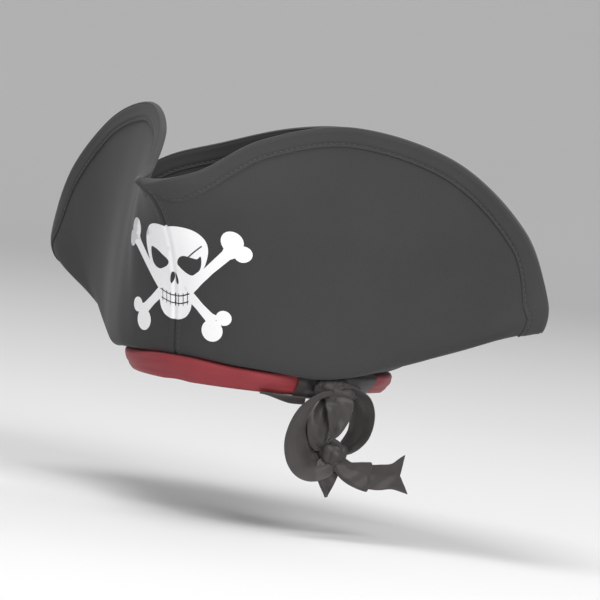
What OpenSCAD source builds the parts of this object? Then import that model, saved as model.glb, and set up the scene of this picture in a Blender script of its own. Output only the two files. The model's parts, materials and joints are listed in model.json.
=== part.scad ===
// Pirate hat: a felt tricorne with a wired, bound edge, a red cloth band showing below the brim, a
// skull and crossbones print on the front corner, and a sash tied to the band at the wearer's left.
// Millimetres. +Z is up, the front corner points to -Y, and the origin is the centre of the head
// opening, in the plane of the red band's lower edge.

/* [Head opening] */
// Half width of the opening inside the sweatband
head_rx = 85; // [76:0.5:96]
// Half length of the opening inside the sweatband, front to back
head_ry = 88; // [80:0.5:102]

/* [Crown] */
// Height of the crown's straight side above the brim line
crown_side_h = 58; // [40:1:66]
// Rise of the domed top above the crown side
crown_dome_h = 34; // [20:1:42]
// How far the crown side narrows by its top, as a share of the opening
crown_taper = 0.07; // [0:0.01:0.15]
// Thickness of the crown felt
crown_felt = 1.6; // [1:0.1:3]
// Thickness of the lining cloth
lining_t = 0.8; // [0.5:0.1:1.5]

/* [Brim] */
// Half width of the hat over the side corners
corner_x = 218; // [190:1:240]
// How far behind the middle the side corners lie
corner_y = 25; // [15:1:50]
// Height of the side corners above the brim line
corner_h = 50; // [40:1:70]
// Height of the two front lobes above the brim line
lobe_h = 169; // [150:1:200]
// Height of the front lip above the brim line
lip_h = 118; // [100:1:135]
// Reach of the front lip ahead of the middle
lip_reach = 153; // [145:1:185]
// Height of the back panel above the brim line
back_h = 167; // [150:1:205]
// Reach of the back panel's top behind the middle
back_reach = 75; // [68:1:90]
// Thickness of the outer felt
brim_felt = 1.6; // [1:0.1:2.5]
// Thickness of the inner facing
facing_t = 1.5; // [1:0.1:2.5]

/* [Bound edge] */
// Width of the binding folded over the edge
binding_w = 13; // [9:0.5:16]
// Thickness of the binding cloth
binding_t = 1.0; // [0.6:0.1:1.5]
// Diameter of the wire in the edge
wire_d = 2.2; // [1.6:0.1:2.8]

/* [Red band] */
// Visible height of the red band below the brim
band_drop = 18; // [12:1:26]
// How far the band stands out at its fullest
band_bulge = 9.2; // [6.5:0.1:11]
// Height of the sweatband
sweat_h = 30; // [22:1:38]
// Thickness of the sweatband
sweat_t = 1.0; // [0.6:0.1:1.0]

/* [Print] */
// Height of the skull
skull_h = 64; // [50:1:72]
// Width of the skull over the temples
skull_w = 54; // [44:1:58]
// Height of the skull's middle above the brim line
skull_z = 57; // [50:1:62]
// Distance of the upper bone ends from the centre seam
bone_x = 45; // [40:1:50]
// Thickness of the print
ink_t = 0.25; // [0.2:0.05:0.5]

/* [Sash] */
// Place of the knot round the opening, in degrees behind the wearer's left
knot_angle = -21; // [-25:1:-15]
// Radius of the upper knot
knot_r = 8; // [6:0.5:9]
// Thickness of the sash cloth where it hangs
sash_t = 1.2; // [0.8:0.1:1.6]
// Width of the loops at their fullest
loop_w = 26; // [18:1:30]
// Width of the tails at their ends
tail_w = 24; // [18:1:28]
// Radius of the lower knot
lower_knot_r = 6.5; // [5:0.5:7]

/* [Hidden] */

felt_colour = "#3d4043";
facing_colour = "#36383b";
lining_colour = "#1f1f21";
sweatband_colour = "#2b2725";
red_colour = "#8f383d";
sash_colour = "#3b3835";
ink_colour = "#f4f4f2";
steel_colour = "#9a9da0";

layer_gap = 0.1;                                // air left between cloth layers
foot_gap = 0.75;                                // air left where the brim meets the crown
ink_gap = 0.5;                                  // the print stands this far off the felt
body_gap = 0.5;                                 // air between pieces that move apart
brim_z = band_drop;                             // height of the brim line
side_top = brim_z + crown_side_h;
wall_in = sweat_t + layer_gap + 1.2 + layer_gap;    // inner face of the crown side
wall_out = wall_in + crown_felt;
foot_z = brim_z + 2.5;                          // where the brim leaves the crown
felt_out = layer_gap / 2 + brim_felt;           // outer face of the brim
felt_in = -layer_gap / 2 - facing_t;            // inner face of the facing
cloth_stop = -(wire_d + 1.2);                   // the felt ends short of the wire in the edge

// ---------------------------------------------------------------- curves

function lerp(a, b, t) = a + (b - a) * t;
function flip_x(p) = [-p[0], p[1], p[2]];
function unit(v) = v / norm(v);
function steps(n) = [for (i = [0:n]) i / n];

// Catmull-Rom curve through a list that carries one extra point before its start and after its end
function spline(list, s) =
    let (i = min(floor(s), len(list) - 4), t = s - i,
        a = list[i], b = list[i + 1], c = list[i + 2], d = list[i + 3])
    0.5 * (2 * b + (c - a) * t + (2 * a - 5 * b + 4 * c - d) * t * t
        + (3 * b - a - 3 * c + d) * t * t * t);

// Adds the end points that an open run needs, carried straight on
function open_ends(p) =
    let (n = len(p))
    concat([2 * p[0] - p[1]], p, [2 * p[n - 1] - p[n - 2]]);

function bezier(a, b, c, d, t) =
    let (s = 1 - t)
    s * s * s * a + 3 * s * s * t * b + 3 * s * t * t * c + t * t * t * d;

// ---------------------------------------------------------------- solids from grids

// Faces between rings of m points each, with both ends capped. back lists the spans of points that
// run back along the surface, so that layers that lie on each other split their cells the same way.
function ring_faces(n, m, back) = concat(
    [for (i = [0:n - 2], j = [0:m - 1])
        let (a = i * m + j, b = i * m + (j + 1) % m,
            turned = len([for (r = back) if (j >= r[0] && j < r[1]) 1]) > 0)
        each (turned ? [[a, b, b + m], [a, b + m, a + m]] : [[a, b, a + m], [b, b + m, a + m]])],
    [[for (j = [m - 1:-1:0]) j]],
    [[for (j = [0:m - 1]) (n - 1) * m + j]]);

// The same, with the last ring joined to the first
function loop_faces(n, m) =
    [for (i = [0:n - 1], j = [0:m - 1])
        let (k = (i + 1) % n, a = i * m + j, b = i * m + (j + 1) % m,
            c = k * m + j, d = k * m + (j + 1) % m)
        each [[a, b, c], [b, d, c]]];

module swept(rings, back = []) {
    polyhedron([for (r = rings) each r], ring_faces(len(rings), len(rings[0]), back), convexity = 8);
}

module swept_loop(rings) {
    polyhedron([for (r = rings) each r], loop_faces(len(rings), len(rings[0])), convexity = 8);
}

// A thin solid between two grids of the same size: outer[i][j] and inner[i][j]
module sheet(outer, inner) {
    n = len(outer);
    m = len(outer[0]);
    swept([for (i = [0:n - 1]) concat(outer[i], [for (j = [m - 1:-1:0]) inner[i][j]])],
        [[m, 2 * m]]);
}

// ---------------------------------------------------------------- head oval

turn = 7.5;                                     // step round the oval, in degrees
turns = [0:turn:359];
function oval(a, d, z) = [(head_rx + d) * cos(a), (head_ry + d) * sin(a), z];
function oval_out(a) = unit([cos(a) / head_rx, sin(a) / head_ry, 0]);

// A section of [distance out, height] points carried round the oval
function oval_ring(section, a) = [for (q = section) oval(a, q[0], q[1])];

// ---------------------------------------------------------------- brim surface

// Stations run from the front centre round the wearer's left to the back centre.
// Shape of the edge: shares of the corner's width, of the way from lip to corner, and of the rise.
front_x = [0, 0.095, 0.209, 0.423, 0.712, 0.939, 1.026];
front_y = [0, 0.194, 0.406, 0.625, 0.826, 0.937, 0.984];
front_rise = [0, 0.175, 0.703, 1];                  // from the lip up to the lobe
front_fall = [0.875, 0.531, 0.151];                 // from the corner up to the lobe
back_x = [0.872, 0.706, 0.514, 0.266, 0];
back_y = [0.315, 0.498, 0.901, 1.057, 1];
back_rise = [0.373, 0.657, 0.811, 0.948, 1];

edge_keys = concat(
    [for (i = [0:6]) [front_x[i] * corner_x, lerp(-lip_reach, corner_y, front_y[i]),
        brim_z + (i < 4 ? lerp(lip_h, lobe_h, front_rise[i]) : lerp(corner_h, lobe_h, front_fall[i - 4]))]],
    [[corner_x, corner_y, brim_z + corner_h]],
    [for (i = [0:4]) [back_x[i] * corner_x, lerp(corner_y, back_reach, back_y[i]),
        brim_z + lerp(corner_h, back_h, back_rise[i])]]);

// Where each station leaves the head oval, in degrees, how far it runs out before it turns up, and how
// far it falls on the way
foot_angle = [-90, -80, -66, -53, -34, -17, -1, 8, 17, 32, 50, 70, 90];
foot_reach = [5, 7, 9, 15, 19, 22, 24, 25, 26, 22, 18, 14, 12];
foot_drop = [0, 3, 16, 19, 18, 10, -4, -6, -6, -4, 0, 2, 3];

last = len(edge_keys) - 1;

// Pull of the cloth where it reaches the edge: [to the side, back] in mm, and upward as a share of the
// edge's height there
pull_side = [[0, -60], [-45, -33], [-47, -11], [-23, -1], [9, 1], [18, 4], [9, 25], [37, 25], [2, 12],
    [8, 3], [8, -9], [4, -17], [0, -20]];
pull_rise = [0.203, 0.26, 0.429, 0.651, 0.941, 0.751, 0.471, 0.22, 0.342, 0.473, 0.552, 0.559, 0.551];
edge_pull = [for (i = [0:last]) [each pull_side[i], pull_rise[i] * (edge_keys[i][2] - brim_z)]];

edge_run = concat([flip_x(edge_keys[1])], edge_keys, [flip_x(edge_keys[last - 1])]);
pull_run = concat([flip_x(edge_pull[1])], edge_pull, [flip_x(edge_pull[last - 1])]);
angle_run = concat([-180 - foot_angle[1]], foot_angle, [180 - foot_angle[last - 1]]);
reach_run = concat([foot_reach[1]], foot_reach, [foot_reach[last - 1]]);
drop_run = concat([foot_drop[1]], foot_drop, [foot_drop[last - 1]]);

foot_lean = 0.08;                               // the foot stands off more where the brim falls away
function foot(u) =
    oval(spline(angle_run, u), wall_out + foot_gap + foot_lean * max(spline(drop_run, u), 0), foot_z);
function foot_end(u) =
    foot(u) + spline(reach_run, u) * oval_out(spline(angle_run, u)) - [0, 0, spline(drop_run, u)];

// The middle surface of the brim, u along the head line and v from the head line to the edge
function brim(u, v) =
    let (e = spline(edge_run, u)) bezier(foot(u), foot_end(u), e - spline(pull_run, u), e, v);

along = 0.01;
function brim_out(u, v) =
    let (w = min(v, 1 - along), in_middle = u == 0 || u == last,
        n = cross(brim(min(u + along, last), w) - brim(max(u - along, 0), w),
            brim(u, w + along) - brim(u, w)))
    unit([in_middle ? 0 : n[0], n[1], n[2]]);

// Width of the binding measured along a station, which meets the edge at a slant near a corner
function slant(u) =
    let (t = unit(brim(min(u + along, last), 1) - brim(max(u - along, 0), 1)),
        c = unit(spline(pull_run, u)))
    max(norm(cross(t, c)), 0.45);
function pull_len(u) = 3 * norm(spline(pull_run, u));
function hem(u) = min(binding_w / slant(u), 0.26 * pull_len(u));

// A point s before the edge (or beyond it when s is positive) and d outward from the middle surface
function near_edge(u, s, d) =
    s <= 0
        ? brim(u, 1 + s / pull_len(u)) + d * brim_out(u, 1 + s / pull_len(u))
        : brim(u, 1) + s * unit(spline(pull_run, u)) + d * brim_out(u, 1);

u_list = [for (i = [0:3 * last]) i / 3];
hem_steps = 2;
body_rows = 12;

// One column of points from the head line to where the cloth ends inside the binding
function column(u, d) =
    let (v_hem = 1 - hem(u) / pull_len(u))
    concat([for (j = [0:body_rows - 1])
            let (v = v_hem * pow(j / body_rows, 1.25)) brim(u, v) + d * brim_out(u, v)],
        [for (j = [0:hem_steps]) near_edge(u, lerp(-hem(u), cloth_stop, j / hem_steps), d)]);

module brim_layer(d_in, d_out) {
    sheet([for (u = u_list) column(u, d_out)], [for (u = u_list) column(u, d_in)]);
}

module brim_half() {
    color(felt_colour) brim_layer(layer_gap / 2, felt_out);
}

module facing_half() {
    color(facing_colour) brim_layer(felt_in, -layer_gap / 2);
}

// ---------------------------------------------------------------- bound edge

function binding_ring(u) =
    let (h = -hem(u), m = lerp(-hem(u), cloth_stop, 0.5), c = cloth_stop,
        i1 = felt_out + layer_gap, o1 = i1 + binding_t,
        i0 = felt_in - layer_gap, o0 = i0 - binding_t, end = binding_t + 0.4)
    [for (q = [[h, o1], [m, o1], [c, o1], [-0.4, 0.8 * o1], [end, 0], [-0.4, 0.8 * o0], [c, o0],
        [m, o0], [h, o0], [h, i0], [m, i0], [c, i0], [-0.8, 0.8 * i0], [0.3, 0], [-0.8, 0.8 * i1],
        [c, i1], [m, i1], [h, i1]]) near_edge(u, q[0], q[1])];

module binding_half() {
    color(felt_colour) swept([for (u = u_list) binding_ring(u)], [[4, 9], [13, 18]]);
}

module wire_half() {
    color(steel_colour) swept([for (u = u_list)
        [for (k = [0:5]) near_edge(u, -0.9 - wire_d / 2 + wire_d / 2 * cos(60 * k),
            -wire_d / 2 * sin(60 * k))]]);
}

// ---------------------------------------------------------------- crown

// The crown side stands straight beside the sweatband, and bows a little as it narrows above it
crown_bow = 1.6;
band_top = sweat_h + 1;
sweat_foot = 4;                                 // lower edge of the sweatband, inside the opening
function crown_side_point(a, z, d) =
    let (t = max(0, (z - band_top) / (side_top - band_top)), f = 1 - crown_taper * t,
        r = d + crown_bow * sin(180 * t))
    [(head_rx * f + r) * cos(a), (head_ry * f + r) * sin(a), z];

function dome_point(a, b, d) =
    let (f = 1 - crown_taper)
    [(head_rx * f + d) * cos(a) * cos(b), (head_ry * f + d) * sin(a) * cos(b),
        side_top + layer_gap + (crown_dome_h + d) * sin(b)];

module crown_side() {
    heights = concat([brim_z + 0.4], [for (t = steps(4)) lerp(band_top, side_top, t)]);
    faces = [for (d = [wall_out, wall_in])
        [for (a = [-90:turn:90]) [for (z = heights) crown_side_point(a, z, d)]]];
    color(felt_colour) sheet(faces[0], faces[1]);
}

// A dome shell, as rings down its outer face and back up its inner face; foot adds a straight skirt
module dome(d_in, d_out, foot) {
    rises = [for (k = [0:6]) 14.3 * k];
    outer = [for (k = [6:-1:0]) [for (a = turns) dome_point(a, rises[k], d_out)]];
    inner = [for (k = [0:6]) [for (a = turns) dome_point(a, rises[k], d_in)]];
    skirt = [for (d = [d_out, d_in]) [for (a = turns) crown_side_point(a, band_top + 1, d)]];
    swept(concat(outer, foot ? skirt : [], inner));
}

module crown_tip() {
    color(felt_colour) dome(wall_in, wall_out, false);
}

module crown_lining() {
    color(lining_colour) dome(wall_in - layer_gap - lining_t, wall_in - layer_gap, true);
}

module sweatband() {
    section = [[0, sweat_foot], [sweat_t, sweat_foot], [sweat_t, sweat_h], [0, sweat_h]];
    color(sweatband_colour) swept_loop([for (a = turns) oval_ring(section, a)]);
}

// ---------------------------------------------------------------- red band and sash

band_in = sweat_t + layer_gap;
band_out = band_in + 1.2;

// Below a fall of the brim the band's top gives way a little; below a rise its lower edge is drawn up
sag = 0.44;
dip_table = [for (i = [0:last]) [foot_angle[i], sag * (foot_drop[i] - foot_drop[last])]];
top_share = 0.35;
function dip(a) = lookup(asin(sin(a)), dip_table);
function hang(a, z) =
    let (d = dip(a), t = max(z, 0) / brim_z) z >= sweat_h ? 0 : d > 0 ? top_share * d * t : d * (1 - t);
function band_ring(section, a) = [for (q = section) oval(a, q[0], q[1] - hang(a, q[1]))];

// Fullness of the band from its lower edge up to the brim, as [distance out, height]
function band_face(grow) = [
    [lerp(band_in, band_bulge, 0.02) + 0.2 * grow, -grow],
    [lerp(band_in, band_bulge, 0.22) + 0.6 * grow, 0.045 * band_drop - 0.8 * grow],
    [lerp(band_in, band_bulge, 0.54) + 0.9 * grow, 0.22 * band_drop - 0.45 * grow],
    [lerp(band_in, band_bulge, 0.84) + grow, 0.5 * band_drop - 0.15 * grow],
    [band_bulge + grow, 0.78 * band_drop]];

module red_band() {
    section = concat(band_face(0), [[0.85 * band_bulge, brim_z - 1.2], [band_out, brim_z - 0.4],
        [band_out, sweat_h], [band_in, sweat_h], [band_in, 0.6]]);
    color(red_colour) swept_loop([for (a = turns) band_ring(section, a)]);
}

wrap_from = knot_angle - 12;
wrap_to = knot_angle + 30;
module sash_wrap() {
    outer = band_face(0.4 + 1.5);
    inner = band_face(0.4);
    section = concat(outer, [for (k = [len(inner) - 1:-1:0]) inner[k]]);
    color(sash_colour)
        swept([for (t = steps(14)) band_ring(section, lerp(wrap_from, wrap_to, t))]);
}

// The sash end that is tucked along under the red band ahead of the wrap
module sash_tuck() {
    section = [[2.2, -0.4], [4.8, -0.4], [6.4, -1.0], [4.6, -2.4], [2.4, -2.6]];
    color(sash_colour)
        swept([for (t = steps(6)) band_ring(section, lerp(wrap_from - 20, wrap_from - 0.6, t))]);
}

// ---------------------------------------------------------------- hanging bow

// The bow hangs in an upright plane: [along, out, up] from the middle of the upper knot
bow_turn = 58;
knot_out = band_bulge + 1.9 + body_gap + knot_r;
knot_at = oval(knot_angle, knot_out, 6);
bow_along = [cos(bow_turn), sin(bow_turn), 0];
bow_out = [sin(bow_turn), -cos(bow_turn), 0];
function bow(p) = knot_at + p[0] * bow_along + p[1] * bow_out + [0, 0, p[2]];
function bow_dir(p) = p[0] * bow_along + p[1] * bow_out + [0, 0, p[2]];

lower_at = [6, 0, -44];                         // middle of the lower knot, in the bow's plane

// A flat strip of cloth along a curve, with its width and the way its width lies at each key point
module strip(path, widths, lays, n) {
    p = open_ends([for (q = path) bow(q)]);
    w = open_ends(widths);
    l = open_ends([for (q = lays) bow_dir(q)]);
    top = len(path) - 1;
    swept([for (k = [0:n])
        let (s = top * k / n, c = spline(p, s),
            t = unit(spline(p, min(s + along, top)) - spline(p, max(s - along, 0))),
            side = unit(spline(l, s) - (spline(l, s) * t) * t), up = cross(t, side),
            a = side * spline(w, s) / 2, b = up * sash_t / 2)
        [c - a - b, c + a - b, c + a + b, c - a + b]]);
}

knot_clear = knot_r + body_gap;
lower_clear = lower_knot_r + 0.2;
// A point on the rim of a knot, in the bow's plane, at an angle from the along direction
function off_knot(centre, r, a) = centre + r * [cos(a), 0, sin(a)];

module upper_knot() {
    color(sash_colour) translate(knot_at) sphere(r = knot_r, $fn = 24);
}

module lower_knot() {
    color(sash_colour) translate(bow(lower_at)) sphere(r = lower_knot_r, $fn = 24);
}

module front_loop() {
    path = [off_knot([0, 0, 0], knot_clear + 0.6, 218), [-17, 1, -18], [-24, 2, -37],
        [-18, 1, -53], [-9, 0, -56], off_knot(lower_at, lower_clear, 205)];
    color(sash_colour) strip(path, [9, 22, loop_w, loop_w, 18, 8],
        [[0, 1, 0], [0.15, 1, 0], [0.2, 1, 0.1], [0, 1, 0.2], [0, 1, 0.1], [0, 1, 0]], 24);
}

module rear_loop() {
    path = [off_knot([0, 0, 0], knot_clear + 0.6, 352), [20, -1, -2], [29.5, -2, -12],
        [28, -2, -26], [20, -1, -35.5], off_knot(lower_at, lower_clear, 38)];
    color(sash_colour) strip(path, [9, 18, 0.88 * loop_w, 0.88 * loop_w, 14, 8],
        [[0, 1, 0], [0, 1, 0.1], [-0.2, 1, 0], [-0.1, 1, -0.1], [0, 1, 0], [0, 1, 0]], 24);
}

module centre_strand() {
    path = [off_knot([0, 0, 0], knot_clear + 0.6, 268), [-2, 0, -19], [0, 1, -29],
        off_knot(lower_at, lower_clear, 100)];
    color(sash_colour) strip(path, [9, 15, 14, 8],
        [[0.6, 1, 0], [1, 0.6, 0], [1, 0.2, 0], [1, 0.4, 0]], 16);
}

tail_gap = lower_knot_r + body_gap;
short_out = -tail_gap + 3;
module short_tail() {
    path = [lower_at + [0, short_out, -tail_gap + 0.8], lower_at + [-0.5, short_out, -15],
        lower_at + [0.5, short_out, -28]];
    color(sash_colour) strip(path, [8, 15, 1.5], [[1, 0, 0], [1, 0, 0], [1, 0, 0]], 10);
}

module long_tail() {
    path = [lower_at + [tail_gap, 3.4, -2.5], lower_at + [20, 4, -7], lower_at + [36, 4.5, -11],
        lower_at + [53, 4, -8]];
    color(sash_colour) strip(path, [8, 17, 18, tail_w],
        [[0.3, 0, 1], [0.35, 0, 1], [0.2, 0, 1], [-0.15, 0, 1]], 18);
}

// ---------------------------------------------------------------- print

// Finds the place on the front of the brim that lies x from the seam at height z
function seek(x, z, u, v, n) =
    n == 0 ? [u, v] :
    let (p = brim(u, v), du = (brim(u + along, v) - p) / along, dv = (brim(u, v + along) - p) / along,
        det = du[0] * dv[2] - dv[0] * du[2], ex = x - p[0], ez = z - p[2])
    seek(x, z, max(u + (ex * dv[2] - ez * dv[0]) / det, 0),
        v + (ez * du[0] - ex * du[2]) / det, n - 1);

function on_front(x, z, d) =
    let (q = seek(abs(x), z, abs(x) / 30, 0.5, 6), p = brim(q[0], q[1]) + d * brim_out(q[0], q[1]))
    x < 0 ? flip_x(p) : p;

ink_in = felt_out + ink_gap;
ink_out = ink_in + ink_t;

// A filled outline round a middle point, laid on the front as rings that shrink to the middle
module laid_outline(middle, outline) {
    rings = 4;
    n = len(outline);
    shares = [for (k = [0:rings - 1]) 1 - k / rings];
    front = [for (s = shares) each [for (q = outline) let (c = lerp(middle, q, s))
        on_front(c[0], c[1], ink_out)]];
    back = [for (s = shares) each [for (q = outline) let (c = lerp(middle, q, s))
        on_front(c[0], c[1], ink_in)]];
    half = rings * n;
    tip = 2 * half;
    ring_cells = [for (k = [0:rings - 2], j = [0:n - 1])
        let (a = k * n + j, b = k * n + (j + 1) % n) each [[a, b, a + n], [b, b + n, a + n]]];
    polyhedron(concat(front, back, [on_front(middle[0], middle[1], ink_out),
            on_front(middle[0], middle[1], ink_in)]),
        concat([for (f = ring_cells) [f[2], f[1], f[0]]],
            [for (f = ring_cells) [f[0] + half, f[1] + half, f[2] + half]],
            [for (j = [0:n - 1]) each [
                [half - n + j, tip, half - n + (j + 1) % n],
                [tip - n + j, tip - n + (j + 1) % n, tip + 1],
                [j, (j + 1) % n, half + j],
                [(j + 1) % n, half + (j + 1) % n, half + j]]]), convexity = 6);
}

// Half breadth of the skull at eleven heights from the chin to the top, as a share of its width
skull_half = [0.13, 0.3, 0.33, 0.34, 0.42, 0.5, 0.5, 0.49, 0.44, 0.32, 0.12];

// One half of the skull, as rows from the seam out to its outline
module skull_side() {
    rows = len(skull_half) - 1;
    columns = 5;
    faces = [for (d = [ink_in, ink_out]) [for (i = [0:rows]) [for (j = [0:columns])
        on_front(skull_half[i] * skull_w * j / columns,
            brim_z + skull_z + skull_h * (i / rows - 0.5), d)]]];
    sheet(faces[0], faces[1]);
}

module skull_print() {
    color(ink_colour)
        for (side = [0, 1]) mirror([side, 0, 0]) skull_side();
}

// One arm of a bone: a shaft that widens into two knobs, from an inner to an outer end
function bone_outline(inner, outer) =
    let (d = unit(outer - inner), n = [-d[1], d[0]])
    [inner - 4.5 * n, lerp(inner, outer, 0.5) - 4 * n, outer - 5 * d - 4.5 * n, outer - 8.5 * n,
        outer + 5.5 * d - 5 * n, outer + 2.5 * d, outer + 5.5 * d + 5 * n, outer + 8.5 * n,
        outer - 5 * d + 4.5 * n, lerp(inner, outer, 0.5) + 4 * n, inner + 4.5 * n];

module bones_print() {
    mid = brim_z + skull_z;
    arms = [[[31, mid + 6], [bone_x, mid + 21]], [[20, mid - 20], [33, mid - 31]]];
    for (side = [0, 1], arm = arms)
        color(ink_colour) mirror([side, 0, 0])
            laid_outline(lerp(arm[0], arm[1], 0.6), bone_outline(arm[0], arm[1]));
}

// ---------------------------------------------------------------- nodes

crown_tip();
crown_side();  // crown_side_left
mirror([1, 0, 0]) crown_side();  // crown_side_right
crown_lining();
sweatband();
brim_half();  // brim_left
mirror([1, 0, 0]) brim_half();  // brim_right
facing_half();  // brim_facing_left
mirror([1, 0, 0]) facing_half();  // brim_facing_right
binding_half();  // edge_binding_left
mirror([1, 0, 0]) binding_half();  // edge_binding_right
wire_half();  // edge_wire_left
mirror([1, 0, 0]) wire_half();  // edge_wire_right
skull_print();
bones_print();
red_band();
sash_wrap();
sash_tuck();
upper_knot();
front_loop();
rear_loop();
centre_strand();
lower_knot();
short_tail();
long_tail();
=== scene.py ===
"""Looks of the pirate hat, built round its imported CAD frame.

The brim, its facing and its binding follow the same closed formula as the CAD brim, so stitches, prints
and seams can be laid on it. Shapes are worked out in millimetres and turned to metres when a mesh is
made. The wearer's left is +X, the front corner points to -Y, and +Z is up.
"""
import json
import logging
import math
from dataclasses import dataclass
from enum import Enum
from functools import reduce
from typing import Callable, Optional, Sequence

import bpy
import numpy as np
from mathutils import Matrix, Vector
from mathutils.geometry import delaunay_2d_cdt


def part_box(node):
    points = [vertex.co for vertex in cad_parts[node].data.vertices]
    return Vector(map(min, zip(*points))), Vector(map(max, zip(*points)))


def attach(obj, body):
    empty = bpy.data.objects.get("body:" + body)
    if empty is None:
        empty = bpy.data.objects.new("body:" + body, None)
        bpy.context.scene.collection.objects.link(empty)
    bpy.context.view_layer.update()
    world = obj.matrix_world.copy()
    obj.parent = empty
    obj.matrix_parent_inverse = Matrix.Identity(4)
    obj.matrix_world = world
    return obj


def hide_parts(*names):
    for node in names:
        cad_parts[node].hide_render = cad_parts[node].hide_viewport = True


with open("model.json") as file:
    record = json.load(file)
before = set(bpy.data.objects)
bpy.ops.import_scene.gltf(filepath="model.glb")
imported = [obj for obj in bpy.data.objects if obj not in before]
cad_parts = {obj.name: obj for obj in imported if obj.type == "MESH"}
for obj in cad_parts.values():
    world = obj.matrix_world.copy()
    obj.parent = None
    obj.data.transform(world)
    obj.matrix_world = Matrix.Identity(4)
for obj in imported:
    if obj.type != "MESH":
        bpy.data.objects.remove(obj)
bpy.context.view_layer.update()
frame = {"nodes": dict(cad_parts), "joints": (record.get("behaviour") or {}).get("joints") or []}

LOG = logging.getLogger("pirate_hat")
MM = 0.001
Array = np.ndarray


class Body(Enum):
    """The CAD bodies that pieces ride on."""

    HAT = "hat"
    BOW = "bow"
    SHORT_TAIL = "short_tail"
    LONG_TAIL = "long_tail"


class TailEnd(Enum):
    """How a strip of cloth is cut at its end."""

    SQUARE = "square"
    FISHTAIL = "fishtail"


# ------------------------------------------------------------------ numbers


def unit(v: Array) -> Array:
    """Vectors along the last axis, scaled to length one."""
    return v / np.maximum(np.linalg.norm(v, axis=-1, keepdims=True), 1e-9)


def lerp(a: float, b: float, t: Array | float) -> Array | float:
    """The value a share t of the way from a to b."""
    return a + (b - a) * t


def smooth(t: Array | float) -> Array:
    """A soft step from 0 to 1."""
    t = np.clip(t, 0.0, 1.0)
    return t * t * (3.0 - 2.0 * t)


def bump_at(x: Array, middle: float, width: float) -> Array:
    """A bell of height one round middle."""
    return np.exp(-(((x - middle) / width) ** 2))


def spline(keys: Array, s: Array | float) -> Array:
    """Catmull-Rom curve through keys that carry one extra point before the start and after the end.

    Args:
        keys: Points or values, with the extra ones included.
        s: Place along the curve, a whole number at each key.

    Returns:
        0.5 (2b + (c-a) t + (2a-5b+4c-d) t^2 + (3b-a-3c+d) t^3) for the four keys round each place.
    """
    keys, s = np.asarray(keys, float), np.asarray(s, float)
    i = np.clip(np.floor(s).astype(int), 0, len(keys) - 4)
    t = (s - i)[..., None] if keys.ndim == 2 else s - i
    a, b, c, d = keys[i], keys[i + 1], keys[i + 2], keys[i + 3]
    return 0.5 * (2 * b + (c - a) * t + (2 * a - 5 * b + 4 * c - d) * t**2
                  + (3 * b - a - 3 * c + d) * t**3)


def open_ends(keys: Sequence) -> Array:
    """Adds the end keys that an open run needs, carried straight on."""
    k = np.asarray(keys, float)
    return np.concatenate([[2 * k[0] - k[1]], k, [2 * k[-1] - k[-2]]])


def closed_loop(keys: Sequence[Sequence[float]], per_key: int = 5) -> Array:
    """A smooth closed outline through a few points."""
    k = np.asarray(keys, float)
    run = np.concatenate([[k[-1]], k, k[:2]])
    return spline(run, np.arange(len(k) * per_key) / per_key)


def open_curve(keys: Sequence[Sequence[float]], n: int) -> Array:
    """A smooth open curve of n points through a few points."""
    return spline(open_ends(keys), np.linspace(0, len(keys) - 1, n))


# ------------------------------------------------------------------ meshes


def ring_faces(n: int, m: int, loop: bool = False) -> Array:
    """Quads between n rings of m points, with the last ring joined to the first where loop is set."""
    i = np.arange(n if loop else n - 1)[:, None]
    j = np.arange(m)[None, :]
    k = (i + 1) % n
    quads = [i * m + j, i * m + (j + 1) % m, k * m + (j + 1) % m, k * m + j]
    return np.stack(np.broadcast_arrays(*quads), -1).reshape(-1, 4)


def end_faces(n: int, m: int) -> list[list[int]]:
    """One flat face for each end of n rings of m points."""
    return [list(range(m))[::-1], list(range((n - 1) * m, n * m))]


def shell_caps(n: int, m: int) -> Array:
    """Quads that close both ends of rings which run out along one skin and back along the other."""
    h = m // 2
    j = np.arange(h - 1)
    first = np.stack([j + 1, j, m - 1 - j, m - 2 - j], -1)
    last = np.stack([j, j + 1, m - 2 - j, m - 1 - j], -1) + (n - 1) * m
    return np.concatenate([first, last])


def signed_volume(points: Array, faces: Sequence[Sequence[int]]) -> float:
    """Volume that the faces close, negative where they look inward."""
    total = 0.0
    quads = np.array([f for f in faces if len(f) == 4])
    tris = [np.array([f for f in faces if len(f) == 3])]
    if len(quads):
        tris += [quads[:, [0, 1, 2]], quads[:, [0, 2, 3]]]
    for t in tris:
        if len(t):
            a, b, c = points[t[:, 0]], points[t[:, 1]], points[t[:, 2]]
            total += float(np.einsum("ij,ij->i", a, np.cross(b, c)).sum()) / 6.0
    return total


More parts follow.
